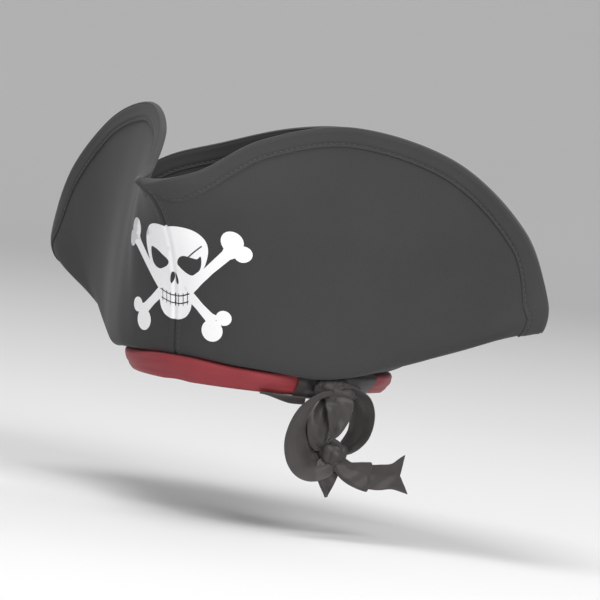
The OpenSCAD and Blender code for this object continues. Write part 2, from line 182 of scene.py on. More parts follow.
@dataclass
class MeshData:
    """Points in millimetres, faces, and values carried by each point."""

    points: Array
    faces: list[list[int]]
    cloth: Optional[Array] = None
    tone: Optional[Array] = None

    def mirrored(self) -> "MeshData":
        """The same on the other side of the centre plane."""
        return MeshData(self.points * [-1.0, 1.0, 1.0], [f[::-1] for f in self.faces],
                        self.cloth, self.tone)

    def joined(self, other: "MeshData") -> "MeshData":
        """Both in one mesh."""
        faces = self.faces + [[i + len(self.points) for i in f] for f in other.faces]
        values = [None if a is None or b is None else np.concatenate([a, b])
                  for a, b in ((self.cloth, other.cloth), (self.tone, other.tone))]
        return MeshData(np.concatenate([self.points, other.points]), faces, *values)

    def build(self, name: str, finish: "Finish", body: Body, slot: str,
              replaces: Sequence[str] = (), sharp: float = 50.0) -> bpy.types.Object:
        """Makes the piece, gives it its finish and lets it ride on its body.

        Args:
            name: Name of the piece.
            finish: What it is made of.
            body: CAD body that it moves with.
            slot: Material slot of the record. Not used.
            replaces: CAD nodes that it stands for.
            sharp: Edges that turn by more than this many degrees stay sharp.

        Returns:
            The new object.
        """
        faces = self.faces if signed_volume(self.points, self.faces) >= 0 else [f[::-1] for f in self.faces]
        mesh = bpy.data.meshes.new(name)
        mesh.from_pydata((self.points * MM).tolist(), [], faces)
        for label, values in (("cloth", self.cloth), ("tone", self.tone)):
            if values is not None:
                kind = "FLOAT_VECTOR" if values.ndim == 2 else "FLOAT"
                attribute = mesh.attributes.new(label, kind, "POINT")
                attribute.data.foreach_set("vector" if values.ndim == 2 else "value",
                                           values.astype(np.float32).ravel())
        mesh.shade_smooth()
        mesh.set_sharp_from_angle(angle=math.radians(sharp))
        mesh.materials.append(finish.material())
        obj = bpy.data.objects.new(name, mesh)
        bpy.context.scene.collection.objects.link(obj)
        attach(obj, body.value)
        if replaces:
            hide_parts(*replaces)
        return obj


def shell(outer: Array, inner: Array, loop: bool = False, cloth: Optional[Array] = None,
          tone: Optional[Array] = None, rim: float = 0.0) -> MeshData:
    """A thin closed skin between two grids of the same size.

    Args:
        outer: Points of the outer skin, rows by columns by 3.
        inner: Points of the inner skin, in the same order.
        loop: Whether the last row joins the first.
        cloth: Place of each point along and across the cloth, in metres.
        tone: One value for each point of a skin.
        rim: How far the two long rims are rounded out, in millimetres.

    Returns:
        The closed mesh.
    """
    n = outer.shape[0]
    parts = [outer, inner[:, ::-1]]
    marks = [[g, g[:, ::-1]] for g in (cloth, tone) if g is not None]
    if rim > 0:
        ends = []
        for side, step in ((-1, -2), (0, 1)):
            middle = (outer[:, side] + inner[:, side]) / 2
            ends.append((middle + rim * unit(outer[:, side] - outer[:, step]))[:, None])
        parts = [outer, ends[0], inner[:, ::-1], ends[1]]
        marks = [[g, g[:, -1:], g[:, ::-1], g[:, :1]] for g in (cloth, tone) if g is not None]
    rings = np.concatenate(parts, 1)
    m = rings.shape[1]
    faces = ring_faces(n, m, loop).tolist()
    if not loop:
        if rim > 0:
            h = (m - 2) // 2
            j = np.arange(h - 1)
            cap = np.stack([j + 1, j, m - 2 - j, m - 3 - j], -1)
            tips = np.array([[h - 1, h + 1, h], [0, m - 1, m - 2]])
            faces += cap.tolist() + (cap[:, ::-1] + (n - 1) * m).tolist()
            faces += tips[:, ::-1].tolist() + (tips + (n - 1) * m).tolist()
        else:
            faces += shell_caps(n, m).tolist()
    laid = [np.concatenate(g, 1) for g in marks]
    values = iter(laid)
    return MeshData(rings.reshape(-1, 3), faces,
                    next(values).reshape(-1, 3) if cloth is not None else None,
                    next(values).reshape(-1) if tone is not None else None)


def solid_rings(rings: Array, cloth: Optional[Array] = None, tone: Optional[Array] = None) -> MeshData:
    """A solid swept through closed rings, with flat ends."""
    n, m = rings.shape[:2]
    faces = ring_faces(n, m).tolist() + end_faces(n, m)
    return MeshData(rings.reshape(-1, 3), faces, None if cloth is None else cloth.reshape(-1, 3),
                    None if tone is None else tone.reshape(-1))


def cloth_places(n: int, m: int, length: float, width: float) -> Array:
    """Place of each grid point along and across a sheet, in metres."""
    a, b = np.meshgrid(np.linspace(0, length, n), np.linspace(0, width, m), indexing="ij")
    return np.stack([a, b, 0 * a], -1) * MM


# ------------------------------------------------------------------ shader sockets


class Sock:
    """A shader output that takes part in sums, as a number would."""

    def __init__(self, net: "Net", out: bpy.types.NodeSocket) -> None:
        self.net, self.out = net, out

    def _math(self, operation: str, *others: "Sock | float") -> "Sock":
        """One maths node on this value and others."""
        return self.net.node("ShaderNodeMath", {"operation": operation}, dict(enumerate([self, *others])))

    def __add__(self, other: "Sock | float") -> "Sock":
        """Sum."""
        return self._math("ADD", other)

    def __radd__(self, other: float) -> "Sock":
        """Sum."""
        return self._math("ADD", other)

    def __sub__(self, other: "Sock | float") -> "Sock":
        """Difference."""
        return self._math("SUBTRACT", other)

    def __mul__(self, other: "Sock | float") -> "Sock":
        """Product."""
        return self._math("MULTIPLY", other)

    def __rmul__(self, other: float) -> "Sock":
        """Product."""
        return self._math("MULTIPLY", other)

    def sine(self) -> "Sock":
        """Sine of the value in radians."""
        return self._math("SINE")

    def clamp(self) -> "Sock":
        """The value held between 0 and 1."""
        return self.net.node("ShaderNodeClamp", {}, {0: self})


class Net:
    """The node tree of one new material."""

    def __init__(self, name: str) -> None:
        self.made = bpy.data.materials.new(name)
        self.made.use_nodes = True
        self.tree = self.made.node_tree
        self.tree.nodes.clear()
        self.surface = self.tree.nodes.new("ShaderNodeBsdfPrincipled")
        out = self.tree.nodes.new("ShaderNodeOutputMaterial")
        self.tree.links.new(self.surface.outputs[0], out.inputs[0])

    def plug(self, socket: bpy.types.NodeSocket, value: object) -> None:
        """Links a socket, or sets its constant."""
        if isinstance(value, Sock):
            self.tree.links.new(value.out, socket)
        else:
            socket.default_value = value

    def node(self, kind: str, settings: dict[str, object], inputs: dict[object, object],
             out: object = 0) -> Sock:
        """Adds one node.

        Args:
            kind: Blender's name of the node type.
            settings: Its properties.
            inputs: Values or sockets for its inputs, by name or number.
            out: The output that is wanted.

        Returns:
            That output.
        """
        made = self.tree.nodes.new(kind)
        for key, value in settings.items():
            setattr(made, key, value)
        for key, value in inputs.items():
            self.plug(made.inputs[key], value)
        return Sock(self, made.outputs[out])

    def place(self) -> Sock:
        """Where a point lies in the row frame, in metres."""
        return self.node("ShaderNodeTexCoord", {}, {}, "Object")

    def attribute(self, name: str, out: str = "Fac") -> Sock:
        """A value or vector carried by the mesh."""
        return self.node("ShaderNodeAttribute", {"attribute_name": name}, {}, out)

    def scaled(self, vector: Sock, by: tuple[float, float, float]) -> Sock:
        """A vector multiplied part by part."""
        return self.node("ShaderNodeVectorMath", {"operation": "MULTIPLY"}, {0: vector, 1: by})

    def parts(self, vector: Sock) -> tuple[Sock, Sock]:
        """The first two parts of a vector."""
        split = self.tree.nodes.new("ShaderNodeSeparateXYZ")
        self.plug(split.inputs[0], vector)
        return Sock(self, split.outputs[0]), Sock(self, split.outputs[1])

    def noise(self, vector: Sock, scale: float, detail: float = 3.0, rough: float = 0.55) -> Sock:
        """Fractal noise round 0.5."""
        return self.node("ShaderNodeTexNoise", {},
                         {"Vector": vector, "Scale": scale, "Detail": detail, "Roughness": rough})

    def mix(self, share: Sock | float, a: Sock | Sequence[float], b: Sock | Sequence[float]) -> Sock:
        """A colour between a and b."""
        def colour(value: object) -> object:
            """A colour with its fourth part."""
            return value if isinstance(value, Sock) else (*value, 1.0)

        # A colour mix takes its colours at inputs 6 and 7 and gives the result at output 2.
        return self.node("ShaderNodeMix", {"data_type": "RGBA"},
                         {0: share, 6: colour(a), 7: colour(b)}, 2)

    def bump(self, height: Sock, distance: float, strength: float = 1.0) -> None:
        """Gives the surface the relief of a height, which is distance metres high at 1."""
        made = self.node("ShaderNodeBump", {},
                         {"Height": height, "Distance": distance, "Strength": strength})
        self.tree.links.new(made.out, self.surface.inputs["Normal"])

    def finish(self, values: dict[str, object]) -> bpy.types.Material:
        """Sets the surface's inputs and returns the material."""
        for key, value in values.items():
            self.plug(self.surface.inputs[key], value)
        return self.made


# ------------------------------------------------------------------ finishes


@dataclass(frozen=True)
class Finish:
    """A surface finish. Each kind makes its material once."""

    name: str

    def material(self) -> bpy.types.Material:
        """The material, made the first time that it is asked for."""
        found = bpy.data.materials.get(self.name)
        return found if found else self.shade(Net(self.name))

    def shade(self, net: Net) -> bpy.types.Material:
        """Fills the node tree."""
        raise NotImplementedError


@dataclass(frozen=True)
class Felt(Finish):
    """Pressed wool felt: mottled, fibrous and matt."""

    dark: tuple[float, float, float] = (0.036, 0.0364, 0.037)
    light: tuple[float, float, float] = (0.054, 0.0543, 0.055)
    sheen: float = 0.12

    def shade(self, net: Net) -> bpy.types.Material:
        """Fills the node tree."""
        at = net.place()
        cloud = net.noise(at, 14.0, 4.0)
        speck = net.noise(at, 620.0, 3.0, 0.7)
        fibre = net.noise(net.scaled(at, (1.0, 1.0, 0.35)), 1500.0, 2.0, 0.6)
        share = (cloud * 0.75 + speck * 0.55 - 0.15).clamp()
        # The mesh's 'tone' value paints a highlight along the binding's rounded edge and its raised border,
        # and paints shade into its stitch channel; the pale colour mixed in below is that painted highlight.
        # Pieces without it carry zero.
        lifted = net.attribute("tone")
        colour = net.mix(share, self.dark, self.light)
        edge_highlight_colour = net.mix((lifted * 0.6).clamp(), colour, (0.088, 0.09, 0.092))
        net.bump(fibre * 0.6 + speck * 0.5 + cloud * 1.2, 0.00022, 0.75)
        return net.finish({"Base Color": edge_highlight_colour, "Roughness": 0.86 + 0.12 * speck, "Sheen Weight": self.sheen,
                           "Sheen Roughness": 0.45, "Specular IOR Level": 0.25})


@dataclass(frozen=True)
class Woven(Finish):
    """A woven or knitted cloth whose threads follow the cloth."""

    dark: tuple[float, float, float]
    light: tuple[float, float, float]
    rough: float = 0.7
    sheen: float = 0.3
    thread: float = 0.0007
    specular: float = 0.3

    def shade(self, net: Net) -> bpy.types.Material:
        """Fills the node tree."""
        cloth = net.attribute("cloth", "Vector")
        along, across = net.parts(cloth)
        turn = 2.0 * math.pi / self.thread
        weave = (along * turn).sine() * 0.5 + (across * turn).sine() * 0.5
        streak = net.noise(net.scaled(cloth, (28.0, 420.0, 1.0)), 1.0, 3.0)
        cloud = net.noise(cloth, 42.0, 3.0)
        colour = net.mix((streak * 0.5 + cloud * 0.9 - 0.2).clamp(), self.dark, self.light)
        net.bump(weave * 0.25 + streak * 0.8 + cloud * 1.5, 0.00016, 0.7)
        return net.finish({"Base Color": colour, "Roughness": (self.rough - 0.08) + 0.16 * cloud,
                           "Sheen Weight": self.sheen, "Sheen Roughness": 0.35,
                           "Specular IOR Level": self.specular})


@dataclass(frozen=True)
class Thread(Finish):
    """Twisted sewing thread."""

    colour: tuple[float, float, float] = (0.020, 0.021, 0.023)
    gleam: float = 2.2

    def shade(self, net: Net) -> bpy.types.Material:
        """Fills the node tree."""
        twist = net.noise(net.place(), 2400.0, 1.0)
        pale = tuple(self.gleam * c for c in self.colour)
        net.bump(twist, 0.0001)
        return net.finish({"Base Color": net.mix(twist, self.colour, pale), "Roughness": 0.55 + 0.1 * twist,
                           "Sheen Weight": 0.3})


@dataclass(frozen=True)
class Ink(Finish):
    """A matt white print that lets the felt's grain through and has rubbed off a little in places."""

    white: tuple[float, float, float] = (0.93, 0.93, 0.94)
    rubbed: tuple[float, float, float] = (0.40, 0.42, 0.44)

    def shade(self, net: Net) -> bpy.types.Material:
        """Fills the node tree."""
        at = net.place()
        grain = net.noise(at, 900.0, 2.0)
        patch = net.noise(at, 130.0, 5.0, 0.65)
        gone = ((patch + net.attribute("tone") * 0.34 - 0.66) * 7.0).clamp() * 0.55
        net.bump(grain, 0.00009, 0.6)
        return net.finish({"Base Color": net.mix(gone, self.white, self.rubbed),
                           "Roughness": 0.62 + 0.16 * grain, "Specular IOR Level": 0.3})


@dataclass(frozen=True)
class Wire(Finish):
    """Drawn steel wire."""

    def shade(self, net: Net) -> bpy.types.Material:
        """Fills the node tree."""
        drawn = net.noise(net.place(), 700.0, 2.0)
        return net.finish({"Base Color": net.mix(drawn, (0.32, 0.33, 0.34), (0.5, 0.51, 0.52)),
                           "Metallic": 1.0, "Roughness": 0.28 + 0.2 * drawn})


@dataclass(frozen=True)
class Paper(Finish):
    """The plain pale floor and backdrop."""

    def shade(self, net: Net) -> bpy.types.Material:
        """Fills the node tree."""
        cloud = net.noise(net.place(), 1.5, 2.0)
        return net.finish({"Base Color": net.mix(cloud, (0.78, 0.78, 0.79), (0.82, 0.82, 0.83)),
                           "Roughness": 0.9})


FELT = Felt("wool_felt")
BACK_FELT = Felt("facing_felt", dark=(0.037, 0.038, 0.040), light=(0.054, 0.0555, 0.058))
BINDING = Felt("binding_felt", dark=(0.036, 0.0364, 0.037), light=(0.054, 0.0543, 0.055))
LINING = Woven("lining_satin", (0.010, 0.010, 0.012), (0.024, 0.024, 0.028), rough=0.42, sheen=0.15)
TAPE = Woven("sweatband_tape", (0.020, 0.017, 0.015), (0.042, 0.037, 0.033), rough=0.82, thread=0.0012)
RED = Woven("red_cotton", (0.225, 0.026, 0.033), (0.33, 0.048, 0.057), rough=0.6, sheen=0.12)
SATIN = Woven("sash_satin", (0.026, 0.0235, 0.0225), (0.066, 0.061, 0.058), rough=0.44, sheen=0.4)
THREAD = Thread("sewing_thread")
INK = Ink("white_ink")
STEEL = Wire("steel_wire")
PAPER = Paper("pale_paper")


# ------------------------------------------------------------------ sizes


@dataclass(frozen=True)
class HatSizes:
    """Sizes in millimetres that all sub-assemblies share, read from the frame where it holds them."""

    head_rx: float
    head_ry: float
    sweat_foot: float
    sweat_h: float
    upper_knot: tuple[float, float, float]
    lower_knot: tuple[float, float, float]
    bow_along: tuple[float, float, float]
    sweat_t: float = 1.0
    band_drop: float = 18.0
    crown_side_h: float = 58.0
    crown_dome_h: float = 34.0
    crown_taper: float = 0.07
    crown_felt: float = 1.6
    lining_t: float = 0.8
    brim_felt: float = 1.6
    facing_t: float = 1.5
    binding_w: float = 13.0
    binding_t: float = 1.0
    wire_d: float = 2.2
    band_cloth: float = 1.2
    layer_gap: float = 0.1

    @classmethod
    def from_frame(cls) -> "HatSizes":
        """Reads the head opening from the sweatband and the knots from the joints."""
        low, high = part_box("sweatband")
        joints = {j["name"]: j for j in frame["joints"]}
        knots = [tuple(c / MM for c in joints[n]["pos_m"]) for n in ("bow_swing", "long_tail_swing")]
        return cls(high.x / MM - cls.sweat_t, high.y / MM - cls.sweat_t, low.z / MM, high.z / MM, *knots,
                   tuple(-c for c in joints["bow_swing"]["axis"]))

    @property
    def felt_out(self) -> float:
        """Outer face of the brim felt."""
        return self.layer_gap / 2 + self.brim_felt

    @property
    def felt_in(self) -> float:
        """Inner face of the facing."""
        return -self.layer_gap / 2 - self.facing_t

    @property
    def wall_in(self) -> float:
        """Inner face of the crown side, out from the opening."""
        return self.sweat_t + 2 * self.layer_gap + self.band_cloth

    @property
    def wall_out(self) -> float:
        """Outer face of the crown side."""
        return self.wall_in + self.crown_felt

    @property
    def side_top(self) -> float:
        """Height at which the crown side meets its tip."""
        return self.band_drop + self.crown_side_h

    def oval(self, degrees: Array | float, out: Array | float, z: Array | float) -> Array:
        """Points round the head opening: ((rx + d) cos a, (ry + d) sin a, z)."""
        a = np.radians(degrees)
        parts = np.broadcast_arrays((self.head_rx + out) * np.cos(a), (self.head_ry + out) * np.sin(a), z)
        return np.stack(parts, -1)


class BrimShape:
    """The middle surface of the brim's left half, u along the head line and v from there to the edge.

    Each station u runs as a cubic Bezier curve from the head line, out and down by that station's reach
    and drop, to the edge, which it meets along that station's pull. Stations run from the front centre
    (u = 0) by the side corner (u = 7) to the back centre (u = 12).
    """

    LAST = 12
    HEAD_LINE = 20.5
    FOOT_GAP = 0.75
    FOOT_LEAN = 0.08
    CORNER = np.array([218.0, 25.0, 50.0])
    LIP_REACH, LIP_H, LOBE_H, BACK_REACH, BACK_H = 153.0, 118.0, 169.0, 75.0, 167.0
    FRONT_X = np.array([0, 0.095, 0.209, 0.423, 0.712, 0.939, 1.026])
    FRONT_Y = np.array([0, 0.194, 0.406, 0.625, 0.826, 0.937, 0.984])
    FRONT_RISE = np.array([0, 0.175, 0.703, 1])
    FRONT_FALL = np.array([0.875, 0.531, 0.151])
    BACK_X = np.array([0.872, 0.706, 0.514, 0.266, 0])
    BACK_Y = np.array([0.315, 0.498, 0.901, 1.057, 1])
    BACK_RISE = np.array([0.373, 0.657, 0.811, 0.948, 1])
    ANGLE = np.array([-90, -80, -66, -53, -34, -17, -1, 8, 17, 32, 50, 70, 90.0])
    REACH = np.array([5, 7, 9, 15, 19, 22, 24, 25, 26, 22, 18, 14, 12.0])
    DROP = np.array([0, 3, 16, 19, 18, 10, -4, -6, -6, -4, 0, 2, 3.0])
    PULL_SIDE = np.array([[0, -60], [-45, -33], [-47, -11], [-23, -1], [9, 1], [18, 4], [9, 25],
                          [37, 25], [2, 12], [8, 3], [8, -9], [4, -17], [0, -20.0]])
    PULL_RISE = np.array([0.203, 0.26, 0.429, 0.651, 0.941, 0.751, 0.471, 0.22, 0.342, 0.473, 0.552,
                          0.559, 0.551])

    def __init__(self, sizes: HatSizes) -> None:
        """Works out the edge's keys from the sizes."""
        self.sizes = sizes
        x, y, h = self.CORNER
        base = sizes.band_drop
        rise = np.concatenate([lerp(self.LIP_H, self.LOBE_H, self.FRONT_RISE),
                               lerp(h, self.LOBE_H, self.FRONT_FALL), [h],
                               lerp(h, self.BACK_H, self.BACK_RISE)])
        keys = np.stack([x * np.concatenate([self.FRONT_X, [1], self.BACK_X]),
                         np.concatenate([lerp(-self.LIP_REACH, y, self.FRONT_Y), [y],
                                         lerp(y, self.BACK_REACH, self.BACK_Y)]), base + rise], -1)
        self.edge = self._mirror_ends(keys)
        self.pull = self._mirror_ends(np.column_stack([self.PULL_SIDE, self.PULL_RISE * rise]))
        self.angle = np.concatenate([[-180 - self.ANGLE[1]], self.ANGLE, [180 - self.ANGLE[-2]]])
        self.reach = np.concatenate([[self.REACH[1]], self.REACH, [self.REACH[-2]]])
        self.drop = np.concatenate([[self.DROP[1]], self.DROP, [self.DROP[-2]]])

    @staticmethod
    def _mirror_ends(keys: Array) -> Array:
        """Carries the run across the centre plane at both ends."""
        flip = np.array([-1.0, 1.0, 1.0])
        return np.concatenate([[keys[1] * flip], keys, [keys[-2] * flip]])

    def flat(self, u: Array, v: Array) -> Array:
        """The bare middle surface: foot s^3 + 3 s^2 v end + 3 s v^2 (edge - pull) + v^3 edge, s = 1 - v."""
        u, v = np.broadcast_arrays(np.asarray(u, float), np.asarray(v, float))
        angle, drop = spline(self.angle, u), spline(self.drop, u)
        out = self.sizes.wall_out + self.FOOT_GAP + self.FOOT_LEAN * np.maximum(drop, 0)
        foot = self.sizes.oval(angle, out, self.HEAD_LINE)
        a = np.radians(angle)
        away = unit(np.stack([np.cos(a) / self.sizes.head_rx, np.sin(a) / self.sizes.head_ry, 0 * a], -1))
        end = foot + spline(self.reach, u)[..., None] * away - drop[..., None] * np.array([0, 0, 1.0])
        edge = spline(self.edge, u)
        v = v[..., None]
        s = 1 - v
        return s**3 * foot + 3 * s * s * v * end + 3 * s * v * v * (edge - spline(self.pull, u)) + v**3 * edge

    def normal(self, u: Array, v: Array) -> Array:
        """Outward direction, from differences of the surface along u and v."""
        u, v = np.broadcast_arrays(np.asarray(u, float), np.asarray(v, float))
        w, d = np.minimum(v, 0.99), 0.01
        du = self.flat(np.minimum(u + d, self.LAST), w) - self.flat(np.maximum(u - d, 0), w)
        n = np.cross(du, self.flat(u, w + d) - self.flat(u, w))
        n[..., 0] = np.where((u <= 0) | (u >= self.LAST), 0.0, n[..., 0])
        return unit(n)

    @staticmethod
    def wave(u: Array, v: Array) -> Array:
        """Slow unevenness of hand-shaped felt, nothing at the head line and little at the edge."""
        lift = 3.2 * v * (1 - v) + 0.25 * v
        return lift * (0.42 * np.sin(1.7 * u + 0.6) + 0.3 * np.sin(3.1 * u - 5.0 * v + 1.0)
                       + 0.16 * np.sin(6.3 * u + 9.0 * v))

    @staticmethod
    def seam(x: Array) -> Array:
        """The groove of a centre seam, with the seam allowance puffed up beside it."""
        return -1.15 * bump_at(x, 0.0, 1.0) + 0.32 * bump_at(np.abs(x), 3.0, 1.5)

    def at(self, u: Array, v: Array, d: Array | float, seam: float = 1.0) -> Array:
        """A point d outward from the shaped middle surface; seam is the share of the seam's relief."""
        u, v = np.broadcast_arrays(np.asarray(u, float), np.asarray(v, float))
        bare = self.flat(u, v)
        lift = d + self.wave(u, v) + seam * self.seam(bare[..., 0])
        return bare + lift[..., None] * self.normal(u, v)

    def pull_len(self, u: Array) -> Array:
        """Length by which v grows by one at the edge."""
        return 3 * np.linalg.norm(spline(self.pull, u), axis=-1)

    def hem(self, u: Array) -> Array:
        """Width of the binding along a station, which meets the edge at a slant near a corner."""
        ahead, behind = np.minimum(u + 0.01, self.LAST), np.maximum(u - 0.01, 0)
        t = unit(self.flat(ahead, 1.0) - self.flat(behind, 1.0))
        slant = np.linalg.norm(np.cross(t, unit(spline(self.pull, u))), axis=-1)
        return np.minimum(self.sizes.binding_w / np.maximum(slant, 0.45), 0.26 * self.pull_len(u))

    def near_edge(self, u: Array, s: Array, d: Array | float, seam: float = 1.0) -> Array:
        """A point s before the edge, or beyond it where s is positive, and d outward."""
        u, s = np.broadcast_arrays(np.asarray(u, float), np.asarray(s, float))
        within = self.at(u, 1 + np.minimum(s, 0) / self.pull_len(u), d, seam)
        return within + np.maximum(s, 0)[..., None] * unit(spline(self.pull, u))

    def edge_stations(self, pitch: float) -> tuple[Array, Array]:
        """Stations spaced evenly along the edge, and their distance from the front centre."""
        fine = np.linspace(0, self.LAST, 4000)
        path = np.concatenate([[0], np.cumsum(np.linalg.norm(np.diff(self.flat(fine, 1.0), axis=0), axis=1))])
        run = np.linspace(0, path[-1], int(path[-1] / pitch) + 1)
        u = np.interp(run, path, fine)
        u[0], u[-1] = 0.0, self.LAST
        return u, run

    def seek(self, x: Array, z: Array) -> tuple[Array, Array]:
        """Finds the place on the front at distance x from the seam and height z, by Newton steps."""
        step = 0.01
        u, v = np.clip(x / 30, 0.02, None), np.full_like(x, 0.5)
        for _ in range(14):
            p = self.flat(u, v)
            du, dv = (self.flat(u + step, v) - p) / step, (self.flat(u, v + step) - p) / step
            det = du[:, 0] * dv[:, 2] - dv[:, 0] * du[:, 2]
            ex, ez = x - p[:, 0], z - p[:, 2]
            u = np.clip(u + np.clip((ex * dv[:, 2] - ez * dv[:, 0]) / det, -0.6, 0.6), 0, 6)
            v = np.clip(v + np.clip((ez * du[:, 0] - ex * du[:, 2]) / det, -0.2, 0.2), 0.01, 0.99)
        return u, v

    def on_front(self, x: Array, z: Array, d: float) -> Array:
        """Points on the shaped front, x from the seam on either side, z high and d outward."""
        u, v = self.seek(np.abs(x), z)
        p = self.at(u, v, d)
        p[:, 0] = np.where(x < 0, -p[:, 0], p[:, 0])
        return p


# ------------------------------------------------------------------ stitches


@dataclass(frozen=True)
class Stitch:
    """Size of one stitch, in millimetres."""

    length: float = 3.1
    radius: float = 0.36
    pitch: float = 4.2


def stitch_run(centres: Array, along: Array, out: Array, size: Stitch) -> MeshData:
    """A row of stitches, each a short six-sided bead of thread half sunk in the cloth.

    Args:
        centres: Middles of the stitches, on the cloth.
        along: Direction of the seam at each.
        out: Outward direction at each.
        size: Size of one stitch.

    Returns:
        All stitches in one mesh.
    """
    sides = 6
    turn = np.radians(np.arange(sides) * 60.0)[None, None, :, None]
    ahead = size.length * np.array([-0.5, -0.42, -0.2, 0.2, 0.42, 0.5])[None, :, None, None]
    wide = size.radius * np.array([0.12, 0.7, 1.0, 1.0, 0.7, 0.12])[None, :, None, None]
    lift = size.radius * np.array([-0.35, 0.05, 0.3, 0.3, 0.05, -0.35])[None, :, None, None]
    side = unit(np.cross(out, along))[:, None, None]
    points = (centres[:, None, None] + ahead * along[:, None, None] + wide * np.cos(turn) * side
              + (wide * np.sin(turn) + lift) * out[:, None, None])
    rings = points.shape[1]
    one = ring_faces(rings, sides).tolist() + end_faces(rings, sides)
    faces = [[i + rings * sides * k for i in f] for k in range(len(centres)) for f in one]
    return MeshData(points.reshape(-1, 3), faces)


# ------------------------------------------------------------------ brim


class Brim:
    """The two turned-up halves with their facings, binding, wire and stitching."""

    ROWS, TIP_ROWS = 66, 4
    WIRE_ROOM = 1.2
    EDGE_ROUND = 1.5
    HEM_SEWN, SEAM_SEWN = 2.4, 3.9
    PUCKER = 8.4

    def __init__(self, sizes: HatSizes, shape: BrimShape) -> None:
        """Keeps the sizes and the shared surface."""
        self.sizes, self.shape = sizes, shape
        self.u = np.unique(np.concatenate([np.linspace(0, 0.3, 17), np.linspace(0.3, 11.8, 168),
                                           np.linspace(11.8, 12, 18)]))

    def grid(self, d: float, seam: float) -> Array:
        """One skin of the felt, from the head line to just inside the wire."""
        u = self.u[:, None]
        hem, length = self.shape.hem(self.u)[:, None], self.shape.pull_len(self.u)[:, None]
        v = (1 - hem / length) * (np.arange(self.ROWS + 1) / self.ROWS)[None] ** 1.2
        stop = self.sizes.wire_d + self.WIRE_ROOM
        body = self.shape.at(np.broadcast_to(u, v.shape), v, d, seam)
        s = hem + (stop - hem) * (np.arange(1, self.TIP_ROWS + 1) / self.TIP_ROWS)[None]
        tip = self.shape.near_edge(np.broadcast_to(u, s.shape), -s, d, seam)
        return np.concatenate([body, tip], 1)

    def layer(self, d_in: float, d_out: float, seams: tuple[float, float]) -> MeshData:
        """A felt layer between two distances from the middle surface."""
        outer, inner = self.grid(d_out, seams[1]), self.grid(d_in, seams[0])
        return shell(outer, inner, tone=np.zeros(outer.shape[:2]))

    def binding(self) -> MeshData:
        """The strip folded over the edge, pressed into a channel along its stitching."""
        sizes, shape = self.sizes, self.shape
        u, run = shape.edge_stations(1.5)
        hem = shape.hem(u)[:, None]
        shares = np.array([0, 0.018, 0.06, 0.11, 0.16, 0.2, 0.24, 0.3, 0.4, 0.52, 0.64, 0.74])
        near = np.array([-2.9, -2.0, -1.0, -0.2, 0.5, 1.1])
        s_face = np.concatenate([-hem * (1 - shares)[None], np.broadcast_to(near, (len(u), len(near)))], 1)
        pucker = 0.5 + 0.5 * np.sin(2 * np.pi * run / self.PUCKER)[:, None]
        gap = hem + s_face
        channel = (bump_at(gap, self.HEM_SEWN, 0.9) * (0.5 + 0.22 * pucker)
                   + 0.12 * bump_at(s_face, -5.2, 1.4))
        edge_round = np.concatenate([[-0.75, -0.2], np.zeros(10), [0, -0.02, -0.12, -0.42, -0.95, -1.75]])

        def face(side: float, base: float, seam: float) -> Array:
            """One face of the strip on the outer or inner side."""
            lift = sizes.binding_t + edge_round[None] - channel
            flat = np.maximum(base + lift, base + 0.08)
            bent = np.sqrt(np.clip(1 - (s_face / self.EDGE_ROUND) ** 2, 0, 1))
            d = np.where(s_face > 0, (base + sizes.binding_t) * bent, flat)
            return shape.near_edge(np.broadcast_to(u[:, None], d.shape), s_face, side * d, seam)

        out_base = sizes.felt_out + sizes.layer_gap
        in_base = -sizes.felt_in + sizes.layer_gap
        outer, inner = face(1.0, out_base, 1.0), face(-1.0, in_base, 0.0)
        tip = shape.near_edge(u[:, None], np.full((len(u), 1), self.EDGE_ROUND), 0.0)
        round_wire = [(-3.3, -in_base), (-0.8, -0.8 * in_base), (0.3, 0.0), (-0.8, 0.8 * out_base),
                      (-3.3, out_base)]
        under = [(-hem, -in_base), (-hem * 0.5, -in_base),
                 *[(np.full_like(hem, s), d) for s, d in round_wire],
                 (-hem * 0.5, out_base), (-hem, out_base)]
        back = np.concatenate([shape.near_edge(u[:, None], s, d, 0.4) for s, d in under], 1)
        rings = np.concatenate([outer, tip, inner[:, ::-1], back], 1)
        # Painted highlight on the rounded edge, its tip and the strip's raised border, and painted shade in
        # the stitch channel, carried as the 'tone' value.
        painted_light_face = (0.55 * bump_at(s_face, 0.6, 1.3) + 0.16 * bump_at(gap, 1.0, 0.9)
                     - 0.3 * bump_at(gap, self.HEM_SEWN, 0.8))
        tone = np.concatenate([painted_light_face, np.full((len(u), 1), 0.55), painted_light_face[:, ::-1],
                               np.zeros((len(u), len(under)))], 1)
        return solid_rings(rings, tone=np.clip(tone, 0, 1))

    def stitches(self) -> MeshData:
        """Rows along both faces of the binding, and beside the centre seams."""
        shape, size = self.shape, Stitch()
        fine, _ = shape.edge_stations(size.pitch)
        u = (fine[1:] + fine[:-1]) / 2
        s = -(shape.hem(u) - self.HEM_SEWN)
        rows, proud = [], 0.42
        for d in (self.sizes.felt_out + self.sizes.layer_gap + proud,
                  self.sizes.felt_in - self.sizes.layer_gap - proud):
            centres = shape.near_edge(u, s, d, 1.0 if d > 0 else 0.0)
            along = unit(shape.near_edge(u + 0.01, s, d) - shape.near_edge(u - 0.01, s, d))
            out = shape.normal(u, 1 + s / shape.pull_len(u)) * np.sign(d)
            rows.append(stitch_run(centres, along, out, size))
        rows += [self.seam_row(middle, self.SEAM_SEWN, size) for middle in (0, shape.LAST)]
        return reduce(MeshData.joined, rows)

